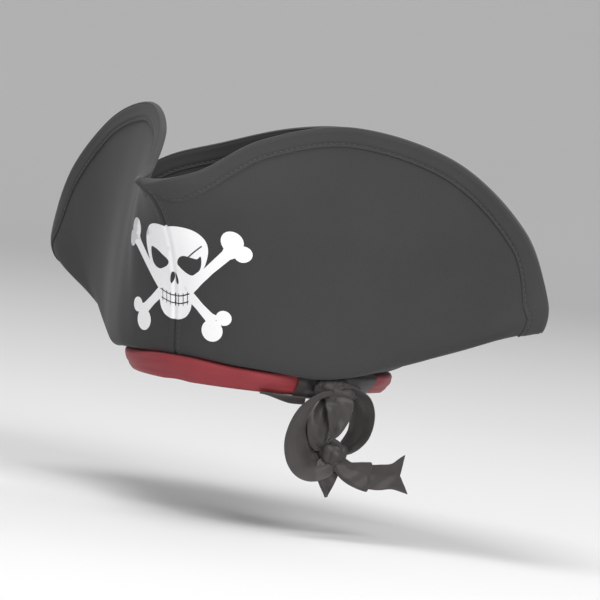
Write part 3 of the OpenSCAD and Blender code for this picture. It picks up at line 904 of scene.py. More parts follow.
    def seam_row(self, middle: float, offset: float, size: Stitch) -> MeshData:
        """Topstitching that runs up beside a centre seam, offset millimetres from it."""
        shape, beside = self.shape, 0.4
        v = np.linspace(0.02, 1, 400)
        reach = np.abs(shape.flat(np.abs(middle - beside), v)[:, 0])
        u = np.abs(middle - beside * offset / reach)
        for _ in range(3):
            u = np.abs(middle - np.abs(middle - u) * offset / np.abs(shape.flat(u, v)[:, 0]))
        v_stop = 1 - (shape.hem(u) + 1.0) / shape.pull_len(u)
        u, v = u[v < v_stop], v[v < v_stop]
        line = shape.at(u, v, self.sizes.felt_out - 0.3)
        run = np.concatenate([[0], np.cumsum(np.linalg.norm(np.diff(line, axis=0), axis=1))])
        places = np.arange(size.pitch, run[-1] - 2, size.pitch)
        at_u, at_v = (np.interp(places, run, g) for g in (u, v))
        centres, ahead = (np.stack([np.interp(p, run, line[:, k]) for k in range(3)], -1)
                          for p in (places, places + 1))
        return stitch_run(centres, unit(ahead - centres), shape.normal(at_u, at_v), size)

    def build(self) -> None:
        """Makes the pieces of both halves."""
        sizes = self.sizes
        layers = {"brim": (self.layer(sizes.layer_gap / 2, sizes.felt_out, (0.0, 1.0)), FELT, "brim_felt"),
                  "brim_facing": (self.layer(sizes.felt_in, -sizes.layer_gap / 2, (-0.7, 0.0)), BACK_FELT,
                                  "brim_facing"),
                  "edge_binding": (self.binding(), BINDING, "binding")}
        seams = self.stitches()
        for side in ("left", "right"):
            for name, (data, finish, slot) in layers.items():
                half = data if side == "left" else data.mirrored()
                half.build(f"{name}_{side}_felt", finish, Body.HAT, slot, [f"{name}_{side}"])
            row = seams if side == "left" else seams.mirrored()
            row.build(f"brim_stitching_{side}", THREAD, Body.HAT, "binding")
            wire = frame["nodes"][f"edge_wire_{side}"]
            wire.data.materials.clear()
            wire.data.materials.append(STEEL.material())


# ------------------------------------------------------------------ print


def inside(points: Array, outline: Array) -> Array:
    """Which points lie inside a closed outline, by counting crossings."""
    x, z = points[:, 0][:, None], points[:, 1][:, None]
    a, b = outline[None], np.roll(outline, -1, 0)[None]
    crosses = (a[..., 1] > z) != (b[..., 1] > z)
    span = np.where(np.abs(b[..., 1] - a[..., 1]) < 1e-9, 1e-9, b[..., 1] - a[..., 1])
    return (crosses & (x < (b[..., 0] - a[..., 0]) * (z - a[..., 1]) / span + a[..., 0])).sum(1) % 2 == 1


def ellipse(cx: float, cz: float, rx: float, rz: float, tilt: float = 0.0, n: int = 22) -> Array:
    """An ellipse of n points, tilted by some degrees."""
    t, a = np.linspace(0, 2 * np.pi, n, endpoint=False), math.radians(tilt)
    x, z = rx * np.cos(t), rz * np.sin(t)
    return np.stack([cx + x * math.cos(a) - z * math.sin(a), cz + x * math.sin(a) + z * math.cos(a)], -1)


def stroke(path: Array, width: float) -> Array:
    """The closed outline of a line of some width."""
    t = unit(np.gradient(path, axis=0))
    n = np.stack([-t[:, 1], t[:, 0]], -1) * width / 2
    return np.concatenate([path + n, (path - n)[::-1]])


class Print:
    """The skull and crossbones printed across the front seam, drawn from a few points and arcs.

    Outlines are [x from the seam, height above the brim line] in millimetres.
    """

    SKULL_HALF = [(0, 89.4), (9, 89.9), (16.6, 88.8), (22, 86.0), (25.8, 81.4), (26.9, 75.5), (25.6, 68.5),
                  (23.2, 62.5), (20.4, 57.5), (17.6, 51.5), (15.2, 44), (14, 37), (12.8, 32), (9.4, 27.4),
                  (4.6, 25.2), (0, 24.7)]
    SOCKET = [(-21, 72.8), (-15, 72.2), (-9, 68.7), (-3.8, 65), (-5, 62), (-9, 59.6), (-14, 58.4),
              (-19, 60.8), (-21.4, 66)]
    PATCH = [(3.6, 64.4), (5.4, 68), (9.4, 69.9), (15.2, 69.2), (19, 68.8), (21.6, 71), (22, 66.8),
             (20.8, 61.8), (17.8, 58.8), (14.4, 56.8), (9.9, 58.2), (5, 61.6)]
    STRAP = [(12.6, 69.2), (17, 73.2), (23, 78.2)]
    TEETH_TOP = [(-13.6, 44.6), (-7, 42.2), (0, 41.2), (6, 41.7), (12.4, 44)]
    TEETH_FOOT = [(-12.6, 38.6), (-5, 36.4), (1, 35.9), (6, 36.4), (11.6, 38.4)]
    UPPER_ARM = ((12, 46.5), (42, 77.2), [(41.8, 83, 6.6, 7.6, 20), (48.4, 75.6, 5.2, 5.6, 0)])
    LOWER_ARM = ((10, 45), (31.5, 26.5), [(38.2, 30.2, 5.4, 5.2, 0), (30.4, 20.6, 7.6, 7.6, 0)])
    LINE = 0.9
    FILL, FILL_CLEAR = 1.7, 0.9
    SUNK, SKULL_PROUD, BONES_PROUD = 0.2, 0.3, 0.26

    def __init__(self, sizes: HatSizes, shape: BrimShape) -> None:
        """Keeps the sizes and the shared surface."""
        self.sizes, self.shape = sizes, shape

    def skull(self) -> Array:
        """Outline of the skull, the same on both sides of the seam."""
        half = open_curve(self.SKULL_HALF, 46)
        return np.concatenate([half, (half * [-1, 1])[::-1][1:-1]])

    def holes(self) -> list[Array]:
        """Sockets, nose and teeth, which are left out of the print."""
        top, foot = open_curve(self.TEETH_TOP, 26), open_curve(self.TEETH_FOOT, 26)
        bars = [stroke(np.array([(x, np.interp(x, foot[:, 0], foot[:, 1]) - 1.9),
                                 (x, np.interp(x, top[:, 0], top[:, 1]) + 1.6)]), 0.85)
                for x in np.linspace(-11.2, 10.6, 7)]
        noses = [ellipse(side * 1.95, 53.4, 1.55, 4.3, side * 14) for side in (-1, 1)]
        return [closed_loop(self.SOCKET), closed_loop(self.PATCH, 4),
                *[stroke(line, self.LINE) for line in (open_curve(self.STRAP, 10), top, foot)],
                *noses, *bars]

    @staticmethod
    def arm(inner: Sequence[float], outer: Sequence[float], knobs: Sequence[tuple]) -> list[Array]:
        """A bone's arm as a shaft and two knobs, whose union is printed."""
        a, b = np.array(inner, float), np.array(outer, float)
        middle = (a + b) / 2
        t = unit(b - a)
        n = np.array([-t[1], t[0]])
        widths = [(a, 3.6), (middle, 3.1), (b - 5 * t, 3.6), (b, 5.5)]
        side = [p + n * w for p, w in widths] + [p - n * w for p, w in widths[::-1]]
        return [np.array(side), *[ellipse(*k) for k in knobs]]

    def bones(self) -> list[Array]:
        """Shapes of the four arms."""
        arms = self.arm(*self.UPPER_ARM) + self.arm(*self.LOWER_ARM)
        return [a * [side, 1] for side in (1, -1) for a in arms]

    def laid(self, shapes: list[Array], holes: list[Array], fade: Callable[[Array, Array], Array],
             base: float, top: float) -> MeshData:
        """Fills the union of shapes less the holes, and lays it on the front as a thin closed layer.

        Args:
            shapes: Outlines that are printed.
            holes: Outlines that are left bare.
            fade: How worn the ink is at a place, from 0 to 1.
            base: Height of the ink's foot off the middle surface.
            top: Height of its face.

        Returns:
            The mesh of the layer.
        """
        loops = [*shapes, *holes]
        flat = np.concatenate(loops)
        across, up = np.arange(-60, 60, self.FILL), np.arange(10, 96, self.FILL)
        grid = np.stack(np.meshgrid(across, up), -1).reshape(-1, 2)
        kept = np.zeros(len(grid), bool)
        for s in shapes:
            kept |= inside(grid, s)
        gap = np.min(np.linalg.norm(grid[kept][:, None] - flat[None, ::2], axis=-1), axis=1)
        points = np.concatenate([flat, grid[kept][gap > self.FILL_CLEAR]])
        edges, start = [], 0
        for loop in loops:
            n = len(loop)
            edges += [(start + i, start + (i + 1) % n) for i in range(n)]
            start += n
        made = delaunay_2d_cdt([Vector(p) for p in points], edges, [], 0, 1e-4)
        at = np.array([tuple(p) for p in made[0]])
        tris = np.array([f for f in made[2] if len(f) == 3])
        middles = at[tris].mean(1)
        on = np.zeros(len(tris), bool)
        for s in shapes:
            on |= inside(middles, s)
        for h in holes:
            on &= ~inside(middles, h)
        tris = tris[on]
        used, tris = np.unique(tris, return_inverse=True)
        tris, at = tris.reshape(-1, 3), at[used]
        n = len(at)
        x, z = at[:, 0], at[:, 1] + self.sizes.band_drop
        face, foot = self.shape.on_front(x, z, top), self.shape.on_front(x, z, base)
        sides = np.concatenate([tris[:, [0, 1]], tris[:, [1, 2]], tris[:, [2, 0]]])
        key = np.sort(sides, 1) @ np.array([n, 1])
        _, first, count = np.unique(key, return_index=True, return_counts=True)
        rim = sides[first[count == 1]]
        walls = [[int(b), int(a), int(a) + n, int(b) + n] for a, b in rim]
        faces = tris.tolist() + (tris[:, ::-1] + n).tolist() + walls
        return MeshData(np.concatenate([face, foot]), faces, None, np.tile(fade(at[:, 0], at[:, 1]), 2))

    def build(self) -> None:
        """Makes the two printed layers."""
        skin = self.sizes.felt_out
        skull = self.skull()

        def corner_fade(x: Array, z: Array) -> Array:
            """Wear at the upper right of the wearer's view, and a little everywhere."""
            return smooth((-x - 12) / 14) * smooth((z - 74) / 12) * 0.9 + 0.05

        def tip_fade(x: Array, z: Array) -> Array:
            """Wear at the end of one bone."""
            return smooth((-x - 34) / 10) * smooth((z - 66) / 12) * 0.9 + 0.05

        foot = skin - self.SUNK
        piece = self.laid([skull], self.holes(), corner_fade, foot, skin + self.SKULL_PROUD)
        piece.build("skull_ink", INK, Body.HAT, "print", ["skull_print"], sharp=35)
        bones = self.laid(self.bones(), [skull], tip_fade, foot, skin + self.BONES_PROUD)
        bones.build("bones_ink", INK, Body.HAT, "print", ["bones_print"], sharp=35)


# ------------------------------------------------------------------ crown


class Crown:
    """The crown's two side halves and tip, its lining and its sweatband."""

    BOW = 1.6
    GIRTH = 540.0
    RIB, RIB_PITCH = 0.16, 2.0

    def __init__(self, sizes: HatSizes) -> None:
        """Keeps the sizes."""
        self.sizes = sizes

    def side_point(self, a: Array, z: Array, d: Array | float) -> Array:
        """A point of the side wall: straight beside the sweatband, then bowed and tapered above it."""
        sizes = self.sizes
        foot = sizes.sweat_h + 1
        t = np.clip((z - foot) / (sizes.side_top - foot), 0, 1)
        f = 1 - sizes.crown_taper * t
        r = d + self.BOW * np.sin(np.pi * t)
        a = np.radians(a)
        return np.stack(np.broadcast_arrays((sizes.head_rx * f + r) * np.cos(a),
                                            (sizes.head_ry * f + r) * np.sin(a), z), -1)

    def dome_point(self, a: Array, b: Array, d: Array | float) -> Array:
        """A point of the domed tip, a round it and b up it, both in degrees."""
        sizes = self.sizes
        f = 1 - sizes.crown_taper
        a, b = np.radians(a), np.radians(b)
        return np.stack(np.broadcast_arrays(
            (sizes.head_rx * f + d) * np.cos(a) * np.cos(b), (sizes.head_ry * f + d) * np.sin(a) * np.cos(b),
            sizes.side_top + sizes.layer_gap + (sizes.crown_dome_h + d) * np.sin(b)), -1)

    def side_half(self) -> MeshData:
        """One half of the side, pressed in along its seams."""
        a, z = np.meshgrid(np.linspace(-90, 90, 97),
                           np.linspace(self.sizes.band_drop + 0.4, self.sizes.side_top, 26), indexing="ij")
        press = (0.75 * bump_at(np.abs(a), 90.0, 0.7) + 0.5 * bump_at(z, self.sizes.side_top, 0.9)
                 - 0.35 * smooth((z - 26) / 20) * np.sin(np.radians(3 * a + 20)) * np.sin(z / 11))
        outer = self.side_point(a, z, self.sizes.wall_out - press)
        inner = self.side_point(a, z, self.sizes.wall_in)
        return shell(outer, inner, tone=np.zeros(a.shape))

    def dome(self, d_in: float, d_out: float, relief: Callable[[Array, Array], Array],
             skirt: bool) -> MeshData:
        """A closed dome shell, with a straight skirt for the lining."""
        a = np.arange(0, 360, 2.0)
        rises = np.concatenate([np.linspace(0, 84, 30), [87.0, 89.0]])
        skins = []
        for d in (d_out, d_in):
            rows = []
            if skirt:
                rows += [self.side_point(a, np.full_like(a, z), d + relief(a, np.zeros_like(a)))
                         for z in np.linspace(self.sizes.sweat_h + 2, self.sizes.side_top - 1, 9)]
            rows += [self.dome_point(a, np.full_like(a, b), d + relief(a, np.full_like(a, b)))
                     for b in rises]
            skins.append(np.array(rows))
        rings = np.concatenate([skins[0][::-1], skins[1]])
        length = np.cumsum(np.concatenate([[0], np.linalg.norm(np.diff(rings, axis=0), axis=-1).mean(1)]))
        cloth = np.stack(np.broadcast_arrays(length[:, None], (a / 360 * self.GIRTH)[None], 0.0), -1) * MM
        return solid_rings(rings, cloth, np.zeros(rings.shape[:2]))

    def sweatband(self) -> MeshData:
        """A ribbed tape round the inside of the opening."""
        sizes = self.sizes
        z = np.linspace(sizes.sweat_foot, sizes.sweat_h, 40)
        rib = self.RIB + self.RIB * np.cos(2 * np.pi * (z - z[0]) / self.RIB_PITCH)
        a = np.arange(0, 360, 1.5)[:, None]
        inner = sizes.oval(a, rib[None], z[None])
        outer = sizes.oval(a, sizes.sweat_t, z[None])
        cloth = cloth_places(len(a), len(z), self.GIRTH, sizes.sweat_h - sizes.sweat_foot)
        return shell(outer, inner, loop=True, cloth=cloth)

    def stitches(self) -> MeshData:
        """Rows beside the seam between side and tip, and along the sweatband's top edge."""
        sizes, size = self.sizes, Stitch(length=2.8, radius=0.32)
        a = np.arange(0, 360, 2.7)
        proud = 0.05

        def on_side(t: Array) -> Array:
            """The line just below the seam."""
            return self.side_point(t, np.full_like(t, sizes.side_top - 3.0), sizes.wall_out + proud)

        def on_tip(t: Array) -> Array:
            """The line just above the seam."""
            return self.dome_point(t, np.full_like(t, 5.5), sizes.wall_out + proud)

        out = unit(np.stack([np.cos(np.radians(a)), np.sin(np.radians(a)), 0.12 + 0 * a], -1))
        rows = [stitch_run(line(a), unit(line(a + 0.5) - line(a - 0.5)), out, size)
                for line in (on_side, on_tip)]
        ring = sizes.oval(a, proud, sizes.sweat_h - 2.2)
        along = unit(sizes.oval(a + 0.5, 0.0, 0.0) - sizes.oval(a - 0.5, 0.0, 0.0))
        rows.append(stitch_run(ring, along, -unit(ring * [1, 1, 0]), Stitch(length=2.6, radius=0.28)))
        return reduce(MeshData.joined, rows)

    def build(self) -> None:
        """Makes the pieces of the crown."""
        sizes = self.sizes
        half = self.side_half()
        half.build("crown_side_left_felt", FELT, Body.HAT, "crown_felt", ["crown_side_left"])
        half.mirrored().build("crown_side_right_felt", FELT, Body.HAT, "crown_felt", ["crown_side_right"])

        def felt_relief(a: Array, b: Array) -> Array:
            """Slow dents, and the tip's edge drawn in at its seam."""
            turn = np.radians(a)
            return (0.5 * np.sin(3 * turn + 1) * np.sin(np.radians(2 * b)) - 0.45 * bump_at(b, 0.0, 1.5)
                    + 0.5 * np.sin(np.radians(2 * b)) * np.cos(2 * turn))

        def lining_relief(a: Array, b: Array) -> Array:
            """Small gathers that fade toward the top."""
            return -0.35 - 0.3 * np.cos(np.radians(30 * a)) * np.cos(np.radians(b))

        tip = self.dome(sizes.wall_in, sizes.wall_out, felt_relief, False)
        tip.build("crown_tip_felt", FELT, Body.HAT, "crown_felt", ["crown_tip"])
        inner = sizes.wall_in - sizes.layer_gap
        lining = self.dome(inner - sizes.lining_t, inner, lining_relief, True)
        cloth = lining.build("crown_lining_satin", LINING, Body.HAT, "lining", ["crown_lining"])
        tape = self.sweatband().build("sweatband_tape", TAPE, Body.HAT, "sweatband", ["sweatband"])
        self.stitches().build("crown_stitching", THREAD, Body.HAT, "crown_felt")


# ------------------------------------------------------------------ red band


class RedBand:
    """The soft red band that shows below the brim, and hangs where the brim hangs."""

    FACE = [(1.3, 0.0), (2.9, 0.75), (5.5, 3.96), (7.9, 9.0), (9.1, 14.0), (7.8, 16.8), (4.6, 17.5)]
    SAG, TOP_SHARE = 0.44, 0.35
    GIRTH = 560
    LINING_Z = [17.7, 20.0, 25.0, 30.0, 30.0, 25.0, 18.0, 10.0, 4.0, 0.9]
    LINING_D = [2.3, 2.3, 2.3, 2.25, 1.15, 1.1, 1.1, 1.1, 1.1, 1.25]

    def __init__(self, sizes: HatSizes) -> None:
        """Keeps the sizes."""
        self.sizes = sizes

    def dip(self, a: Array) -> Array:
        """How far the lower edge falls at an angle round the opening."""
        side = np.degrees(np.arcsin(np.sin(np.radians(a))))
        fall = self.SAG * (BrimShape.DROP - BrimShape.DROP[-1])
        spread = (-8, -4, 0, 4, 8)
        soft = sum(np.interp(np.degrees(np.arcsin(np.sin(np.radians(side + k)))), BrimShape.ANGLE, fall)
                   for k in spread)
        return soft / len(spread)

    def hang(self, a: Array, z: Array) -> Array:
        """How far a point at height z gives way to the brim, or is drawn up below a rise."""
        d, t = self.dip(a), np.maximum(z, 0) / self.sizes.band_drop
        return np.where(z >= self.sizes.sweat_h, 0.0, np.where(d > 0, self.TOP_SHARE * d * t, d * (1 - t)))

    def ring(self, a: Array, out: Array, z: Array) -> Array:
        """Points round the opening that hang with the band."""
        a, out, z = np.broadcast_arrays(a, out, z)
        return self.sizes.oval(a, out, z - self.hang(a, z))

    def face(self, grow: float, n: int) -> tuple[Array, Array]:
        """The band's outer face as distances out and heights, grown outward."""
        keys = np.array(self.FACE)
        swell = np.array([0.2, 0.6, 0.9, 1, 1, 0.75, 0.4])
        fall = np.array([1, 0.8, 0.45, 0.15, 0, 0, 0])
        keys = keys + grow * np.stack([swell, -fall], -1)
        curve = open_curve(keys, n)
        return curve[:, 0], curve[:, 1]

    def build(self) -> None:
        """Makes the band as a folded ring of cloth."""
        a = np.arange(0, 360, 1.25)[:, None]
        out, z = self.face(0.0, 34)
        turn = np.radians(a)
        crease = (-0.55 * bump_at(z, 5.6, 1.3) * (0.65 + 0.35 * np.sin(2 * turn + 1))
                  - 0.35 * bump_at(z, 12.4, 1.0) * (0.5 + 0.5 * np.sin(3 * turn))
                  + 0.28 * np.sin(9 * turn + z[None] / 4) + 0.2 * np.sin(17 * turn - z[None] / 3))
        fade = smooth((z - 0.3) / 2)[None] * smooth((17.3 - z) / 3)[None]
        face = self.ring(a, out[None] + crease * fade, z[None])
        back = self.ring(a, np.array([self.LINING_D]), np.array([self.LINING_Z]))
        rings = np.concatenate([face, back], 1)
        n, m = rings.shape[:2]
        step = np.linalg.norm(np.diff(rings, axis=1), axis=-1).mean(0)
        across = np.concatenate([[0], np.cumsum(step)])
        cloth = np.stack(np.broadcast_arrays(a / 360 * self.GIRTH, across[None], 0.0), -1) * MM
        data = MeshData(rings.reshape(-1, 3), ring_faces(n, m, True).tolist(), cloth.reshape(-1, 3))
        band = data.build("red_band_cloth", RED, Body.HAT, "red_cloth", ["red_band"], sharp=70)


# ------------------------------------------------------------------ sash


@dataclass(frozen=True)
class RibbonSpec:
    """A strip of sash along a curve in the bow's plane, with [along, out, up] keys from the upper knot."""

    name: str
    node: str
    body: Body
    path: Sequence[Sequence[float]]
    widths: Sequence[float]
    lays: Sequence[Sequence[float]]
    flat: tuple[float, float]
    folds: float = 1.5
    depth: float = 1.2
    phase: float = 0.0
    cup: float = 0.0
    end: TailEnd = TailEnd.SQUARE
    step: float = 0.0
    rests_on: Sequence[str] = ()


class Sash:
    """The tied sash: a wrap over the band, a tucked end, two knots, loops, a strand and two tails.

    TUCK outlines the tucked end: distance out, height, and the share of its depth that is added to it.
    """

    THICK = 0.85
    TUCK = [(2.6, -0.3, 0), (4.6, -0.2, -0.05), (6.9, 1.2, -0.2), (7.0, 0.2, -0.55), (5.2, -0.5, -0.95),
            (3.2, -0.4, -0.9), (2.4, -0.3, -0.4)]
    TUCK_TOP = 2.0

    def __init__(self, sizes: HatSizes, band: RedBand) -> None:
        """Keeps the sizes and finds the bow's plane from its joint."""
        self.sizes, self.band = sizes, band
        self.knot = np.array(sizes.upper_knot)
        self.lower = np.array(sizes.lower_knot)
        self.along = unit(np.array(sizes.bow_along))
        self.out = np.array([self.along[1], -self.along[0], 0.0])
        self.up = np.array([0, 0, 1.0])
        self.angle = math.degrees(math.atan2(self.knot[1] / sizes.head_ry, self.knot[0] / sizes.head_rx))

    def bow(self, p: Array) -> Array:
        """A place or direction in the bow's plane, as a vector in the row frame."""
        p = np.asarray(p, float)
        return p[..., :1] * self.along + p[..., 1:2] * self.out + p[..., 2:3] * self.up

    def ribbon(self, spec: RibbonSpec, n: int = 110, m: int = 33) -> MeshData:
        """A folded strip: along its curve, each cross-section is a soft wave that deepens where it narrows.

        Args:
            spec: The strip.
            n: Rows along it.
            m: Points across it.

        Returns:
            The closed mesh of the strip.
        """
        keys = open_ends(self.knot + self.bow(np.array(spec.path)))
        top = len(spec.path) - 1
        t = np.linspace(-0.5, 0.5, m)[None]
        s = np.linspace(0, top, n)[:, None] * np.ones_like(t)
        if spec.end is TailEnd.FISHTAIL:
            s = s * (1 - 0.085 * (1 - np.abs(2 * t)) * (s / top) ** 3)
        middle = spline(keys, s)
        ahead = unit(spline(keys, np.minimum(s + 0.02, top)) - spline(keys, np.maximum(s - 0.02, 0)))
        lay = spline(open_ends(self.bow(np.array(spec.lays))), s)
        side = unit(lay - (lay * ahead).sum(-1, keepdims=True) * ahead)
        face = np.cross(ahead, side)
        width = spline(open_ends(spec.widths), s)
        full = max(spec.widths)
        gather = np.clip(1.25 - width / full, 0.12, 1.0)
        share = s / top
        turn = 2 * np.pi * spec.folds * t + spec.phase + 1.3 * share
        wave = spec.depth * gather * np.arcsin(0.96 * np.cos(turn)) / 1.3
        wave = wave + spec.cup * (2 * t) ** 2 * np.sin(np.pi * np.clip(share, 0, 1))
        wave = wave + 0.3 * np.sin(9 * share + 5 * t) + 0.22 * np.arcsin(0.95 * np.sin(23 * share - 9 * t))
        if spec.step:
            wave = wave - spec.step * smooth((share - 0.5) / 0.035)
            width = width * (1 - 0.2 * smooth((share - 0.5) / 0.03) * (1 - smooth((share - 0.53) / 0.4)))
        centre = middle + side * (t * width)[..., None] + face * wave[..., None]
        along = np.gradient(centre, axis=0)
        across = np.gradient(centre, axis=1)
        normal = unit(np.cross(along, across))
        half = self.THICK / 2 * (1 + 0.35 * bump_at(np.abs(t), 0.5, 0.05))[..., None]
        cloth = cloth_places(n, m, 1000 * spec.flat[1], 1000 * spec.flat[0])
        return shell(centre + normal * half, centre - normal * half, cloth=cloth, rim=self.THICK * 0.4)

    def specs(self) -> list[RibbonSpec]:
        """The strips that hang from the upper knot and from the lower one."""
        low = (self.lower - self.knot) @ np.stack([self.along, self.out, self.up], 1)

        def at(along: float, out: float, up: float) -> tuple[float, ...]:
            """A key given from the lower knot."""
            return tuple(low + np.array([along, out, up]))

        return [
            RibbonSpec("front_loop_cloth", "front_loop", Body.BOW,
                       [(-1, 0, -2), (-8, 1, -7), (-14.5, 1.5, -19), (-17, 2, -34), (-13.5, 1, -46),
                        (-6.5, 0.5, -49.5), at(-3, 0, -3), at(1, 0, 0)],
                       [12, 18, 24, 29, 31, 26, 17, 11],
                       [(0, 0.8, 0.5), (-0.6, 0.7, 0.3), (-1, 0.45, 0.1), (-1, 0.3, 0), (-0.8, 0.5, -0.5),
                        (-0.4, 0.6, -0.8), (-0.2, 0.6, -0.8), (0, 0.6, -0.8)],
                       (0.031, 0.088), folds=1.6, depth=2.2, cup=2.6, rests_on=["upper_knot_cloth"]),
            RibbonSpec("rear_loop_cloth", "rear_loop", Body.BOW,
                       [(2, 0, 0), (10, 0, 1), (19.5, -1, -4), (23.5, -1.5, -15), (22.5, -1.5, -27),
                        (15.5, -1, -37), at(4, 0, 3), at(0, 0, 0)],
                       [12, 15, 19, 21, 20, 15, 11, 9],
                       [(0, 0.8, 0.5), (0.3, 0.8, 0.4), (0.6, 0.8, 0.1), (0.5, 0.75, 0), (0.45, 0.8, -0.2),
                        (0.3, 0.8, -0.4), (0, 0.9, -0.4), (0, 1, 0)],
                       (0.023, 0.076), folds=1.3, depth=1.9, phase=1.2, cup=-2.0,
                       rests_on=["upper_knot_cloth"]),
            RibbonSpec("centre_strand_cloth", "centre_strand", Body.BOW,
                       [(-1, 1, -3), (-5, 2, -11), (-7, 3, -22), (-5, 3, -33), at(-2, 2, 6), at(0, 1, 0)],
                       [12, 17, 19, 17, 13, 9],
                       [(0.8, 1, 0), (1, 0.5, 0), (1, 0.1, 0), (1, 0.1, 0), (1, 0.3, 0), (1, 0.4, 0)],
                       (0.019, 0.044), folds=2.0, depth=1.7, phase=0.6, rests_on=["upper_knot_cloth"]),
            RibbonSpec("dark_strand_cloth", "centre_strand", Body.BOW,
                       [(1, 3, -1), (3.5, 7, -7), (4, 7.5, -16), (2.5, 7, -26), (-2, 6, -34)],
                       [15, 20, 17, 9, 1.6],
                       [(1, 0.2, 0), (1, 0, 0), (1, -0.1, 0), (1, 0, 0), (1, 0, 0)],
                       (0.017, 0.031), folds=1.5, depth=1.0, phase=2.4, rests_on=["centre_strand_cloth"]),
            RibbonSpec("short_tail_cloth", "short_tail", Body.SHORT_TAIL,
                       [at(-2, 1, -3), at(-4, 2.6, -9), at(-3.4, 2.4, -17), at(-2.4, 2, -28.5)],
                       [11, 17, 12.5, 1.4], [(1, 0, 0), (1, 0, 0), (1, 0.1, 0), (1, 0, 0)],
                       (0.017, 0.027), folds=1.0, depth=1.0, phase=0.8, rests_on=["lower_knot_cloth"]),
            RibbonSpec("long_tail_cloth", "long_tail", Body.LONG_TAIL,
                       [at(3, 5, -4), at(9, 8.2, -9), at(18, 9.4, -11), at(30, 9.6, -11.5),
                        at(42, 9, -10), at(53, 8, -8)],
                       [10, 14, 18.5, 21.5, 18.5, 27],
                       [(0.5, 0, 1), (0.3, 0, 1), (0.15, 0, 1), (0.1, 0.1, 1), (-0.05, 0, 1), (-0.16, 0, 1)],
                       (0.024, 0.058), folds=1.0, depth=1.3, phase=2.0, end=TailEnd.FISHTAIL, step=1.5,
                       rests_on=["lower_knot_cloth"]),
        ]

    def knot_mesh(self, centre: Array, radii: Sequence[float], turns: float, tilt: float) -> MeshData:
        """A pulled knot: an ovoid whose surface runs in pleats that wind round it.

        Args:
            centre: Middle of the knot.
            radii: Half sizes along the bow, out of it and up.
            turns: Number of pleats round it.
            tilt: How far the pleats wind, in turns.

        Returns:
            The closed mesh of the knot.
        """
        lon = np.linspace(0, 2 * np.pi, 72, endpoint=False)[None]
        lat = np.linspace(-0.49, 0.49, 46)[:, None] * np.pi
        pleat = 0.13 * np.abs(np.sin(turns / 2 * lon + tilt * 2 * np.pi * lat / np.pi)) ** 0.8
        pleat = pleat + 0.08 * np.sin(2 * lon + 3 * lat) + 0.06 * np.sin(5 * lat - 3 * lon)
        r = 0.93 + (pleat - 0.04) * np.cos(lat)
        p = np.stack(np.broadcast_arrays(radii[0] * r * np.cos(lat) * np.cos(lon),
                                         radii[1] * r * np.cos(lat) * np.sin(lon),
                                         radii[2] * r * np.sin(lat)), -1)
        cloth = np.stack(np.broadcast_arrays(lat * radii[0], lon * radii[0], 0.0), -1) * MM
        return solid_rings(centre + self.bow(p), cloth)

    def wrap(self) -> MeshData:
        """The sash pulled round the band: pleats fan out from the knot, and its top dips beside it."""
        n, m = 120, 40
        share = np.linspace(0, 1, n)[:, None]
        t = np.linspace(0, 1, m)[None]
        a = lerp(self.angle - 12, self.angle + 31, share) - 6.5 * smooth((share - 0.7) / 0.3) * (1 - t)
        a = a - 1.6 * (1 - share) ** 3 * (1 - t)
        top = 1 - 0.30 * bump_at(a, self.angle - 3.0, 3.4) * smooth((a - self.angle + 8.5) / 2)
        place = t * top
        grids = []
        for grow in (0.45, 1.45):
            out, z = self.band.face(grow, 80)
            k = np.linspace(0, 1, len(out))
            d, h = np.interp(place, k, out), np.interp(place, k, z)
            x, y = (a - self.angle) * 1.55, h - 3.5
            turn, far = np.arctan2(y, x), np.hypot(x, y)
            pleat = 0.75 * np.sin(9 * turn + 0.06 * far) * smooth((far - 3) / 8) * smooth((34 - far) / 20)
            strap = 0.9 * bump_at(a, self.angle - 9.0, 2.0) + 0.5 * bump_at(a, self.angle + 14, 5)
            lift = (pleat + 0.75 + strap) * (0.25 + 0.75 * smooth((t - 0.02) / 0.2))
            grids.append(self.band.ring(a, d + lift, h))
        cloth = cloth_places(n, m, 72, 26)
        return shell(grids[1], grids[0], cloth=cloth, rim=0.35)

    def tuck(self) -> MeshData:
        """The end that is tucked along under the band ahead of the wrap, thinner toward its tip."""
        share = np.linspace(0, 1, 60)[:, None]
        a = lerp(self.angle - 28, self.angle - 8, share)
        deep = lerp(0.4, 5.2, smooth(share * 1.3))
        loop = closed_loop(self.TUCK, 6)
        rows = []
        for k, at in enumerate(share):
            z = loop[:, 1] + loop[:, 2] * deep[k]
            d = loop[:, 0] + 0.25 * np.sin(7 * at + loop[:, 1])
            rows.append(self.band.ring(a[k], d, np.minimum(z, self.TUCK_TOP)))
        width = np.linspace(0, 16, len(loop))
        cloth = np.stack(np.broadcast_arrays(share * 42, width[None], 0.0), -1) * MM
        return solid_rings(np.array(rows), cloth)

    def build(self) -> None:
        """Makes every piece of the sash."""
        wrap = self.wrap().build("sash_wrap_cloth", SATIN, Body.HAT, "sash", ["sash_wrap"])
        tuck = self.tuck().build("sash_tuck_cloth", SATIN, Body.HAT, "sash", ["sash_tuck"])
        upper = self.knot_mesh(self.knot + self.bow([4, -1.5, 1.0]), (16, 7.0, 8.2), 9, 0.5)
        upper.build("upper_knot_cloth", SATIN, Body.HAT, "sash", ["upper_knot"])
        lower = self.knot_mesh(self.lower + self.bow([0, 0.6, 1.5]), (9.6, 6.4, 9.0), 6, 0.35)
        lower.build("lower_knot_cloth", SATIN, Body.BOW, "sash", ["lower_knot"])
        made: set[str] = set()
        for spec in self.specs():
            nodes = [] if spec.node in made else [spec.node]
            made.add(spec.node)
            piece = self.ribbon(spec).build(spec.name, SATIN, spec.body, "sash", nodes, sharp=60)


# ------------------------------------------------------------------ stage


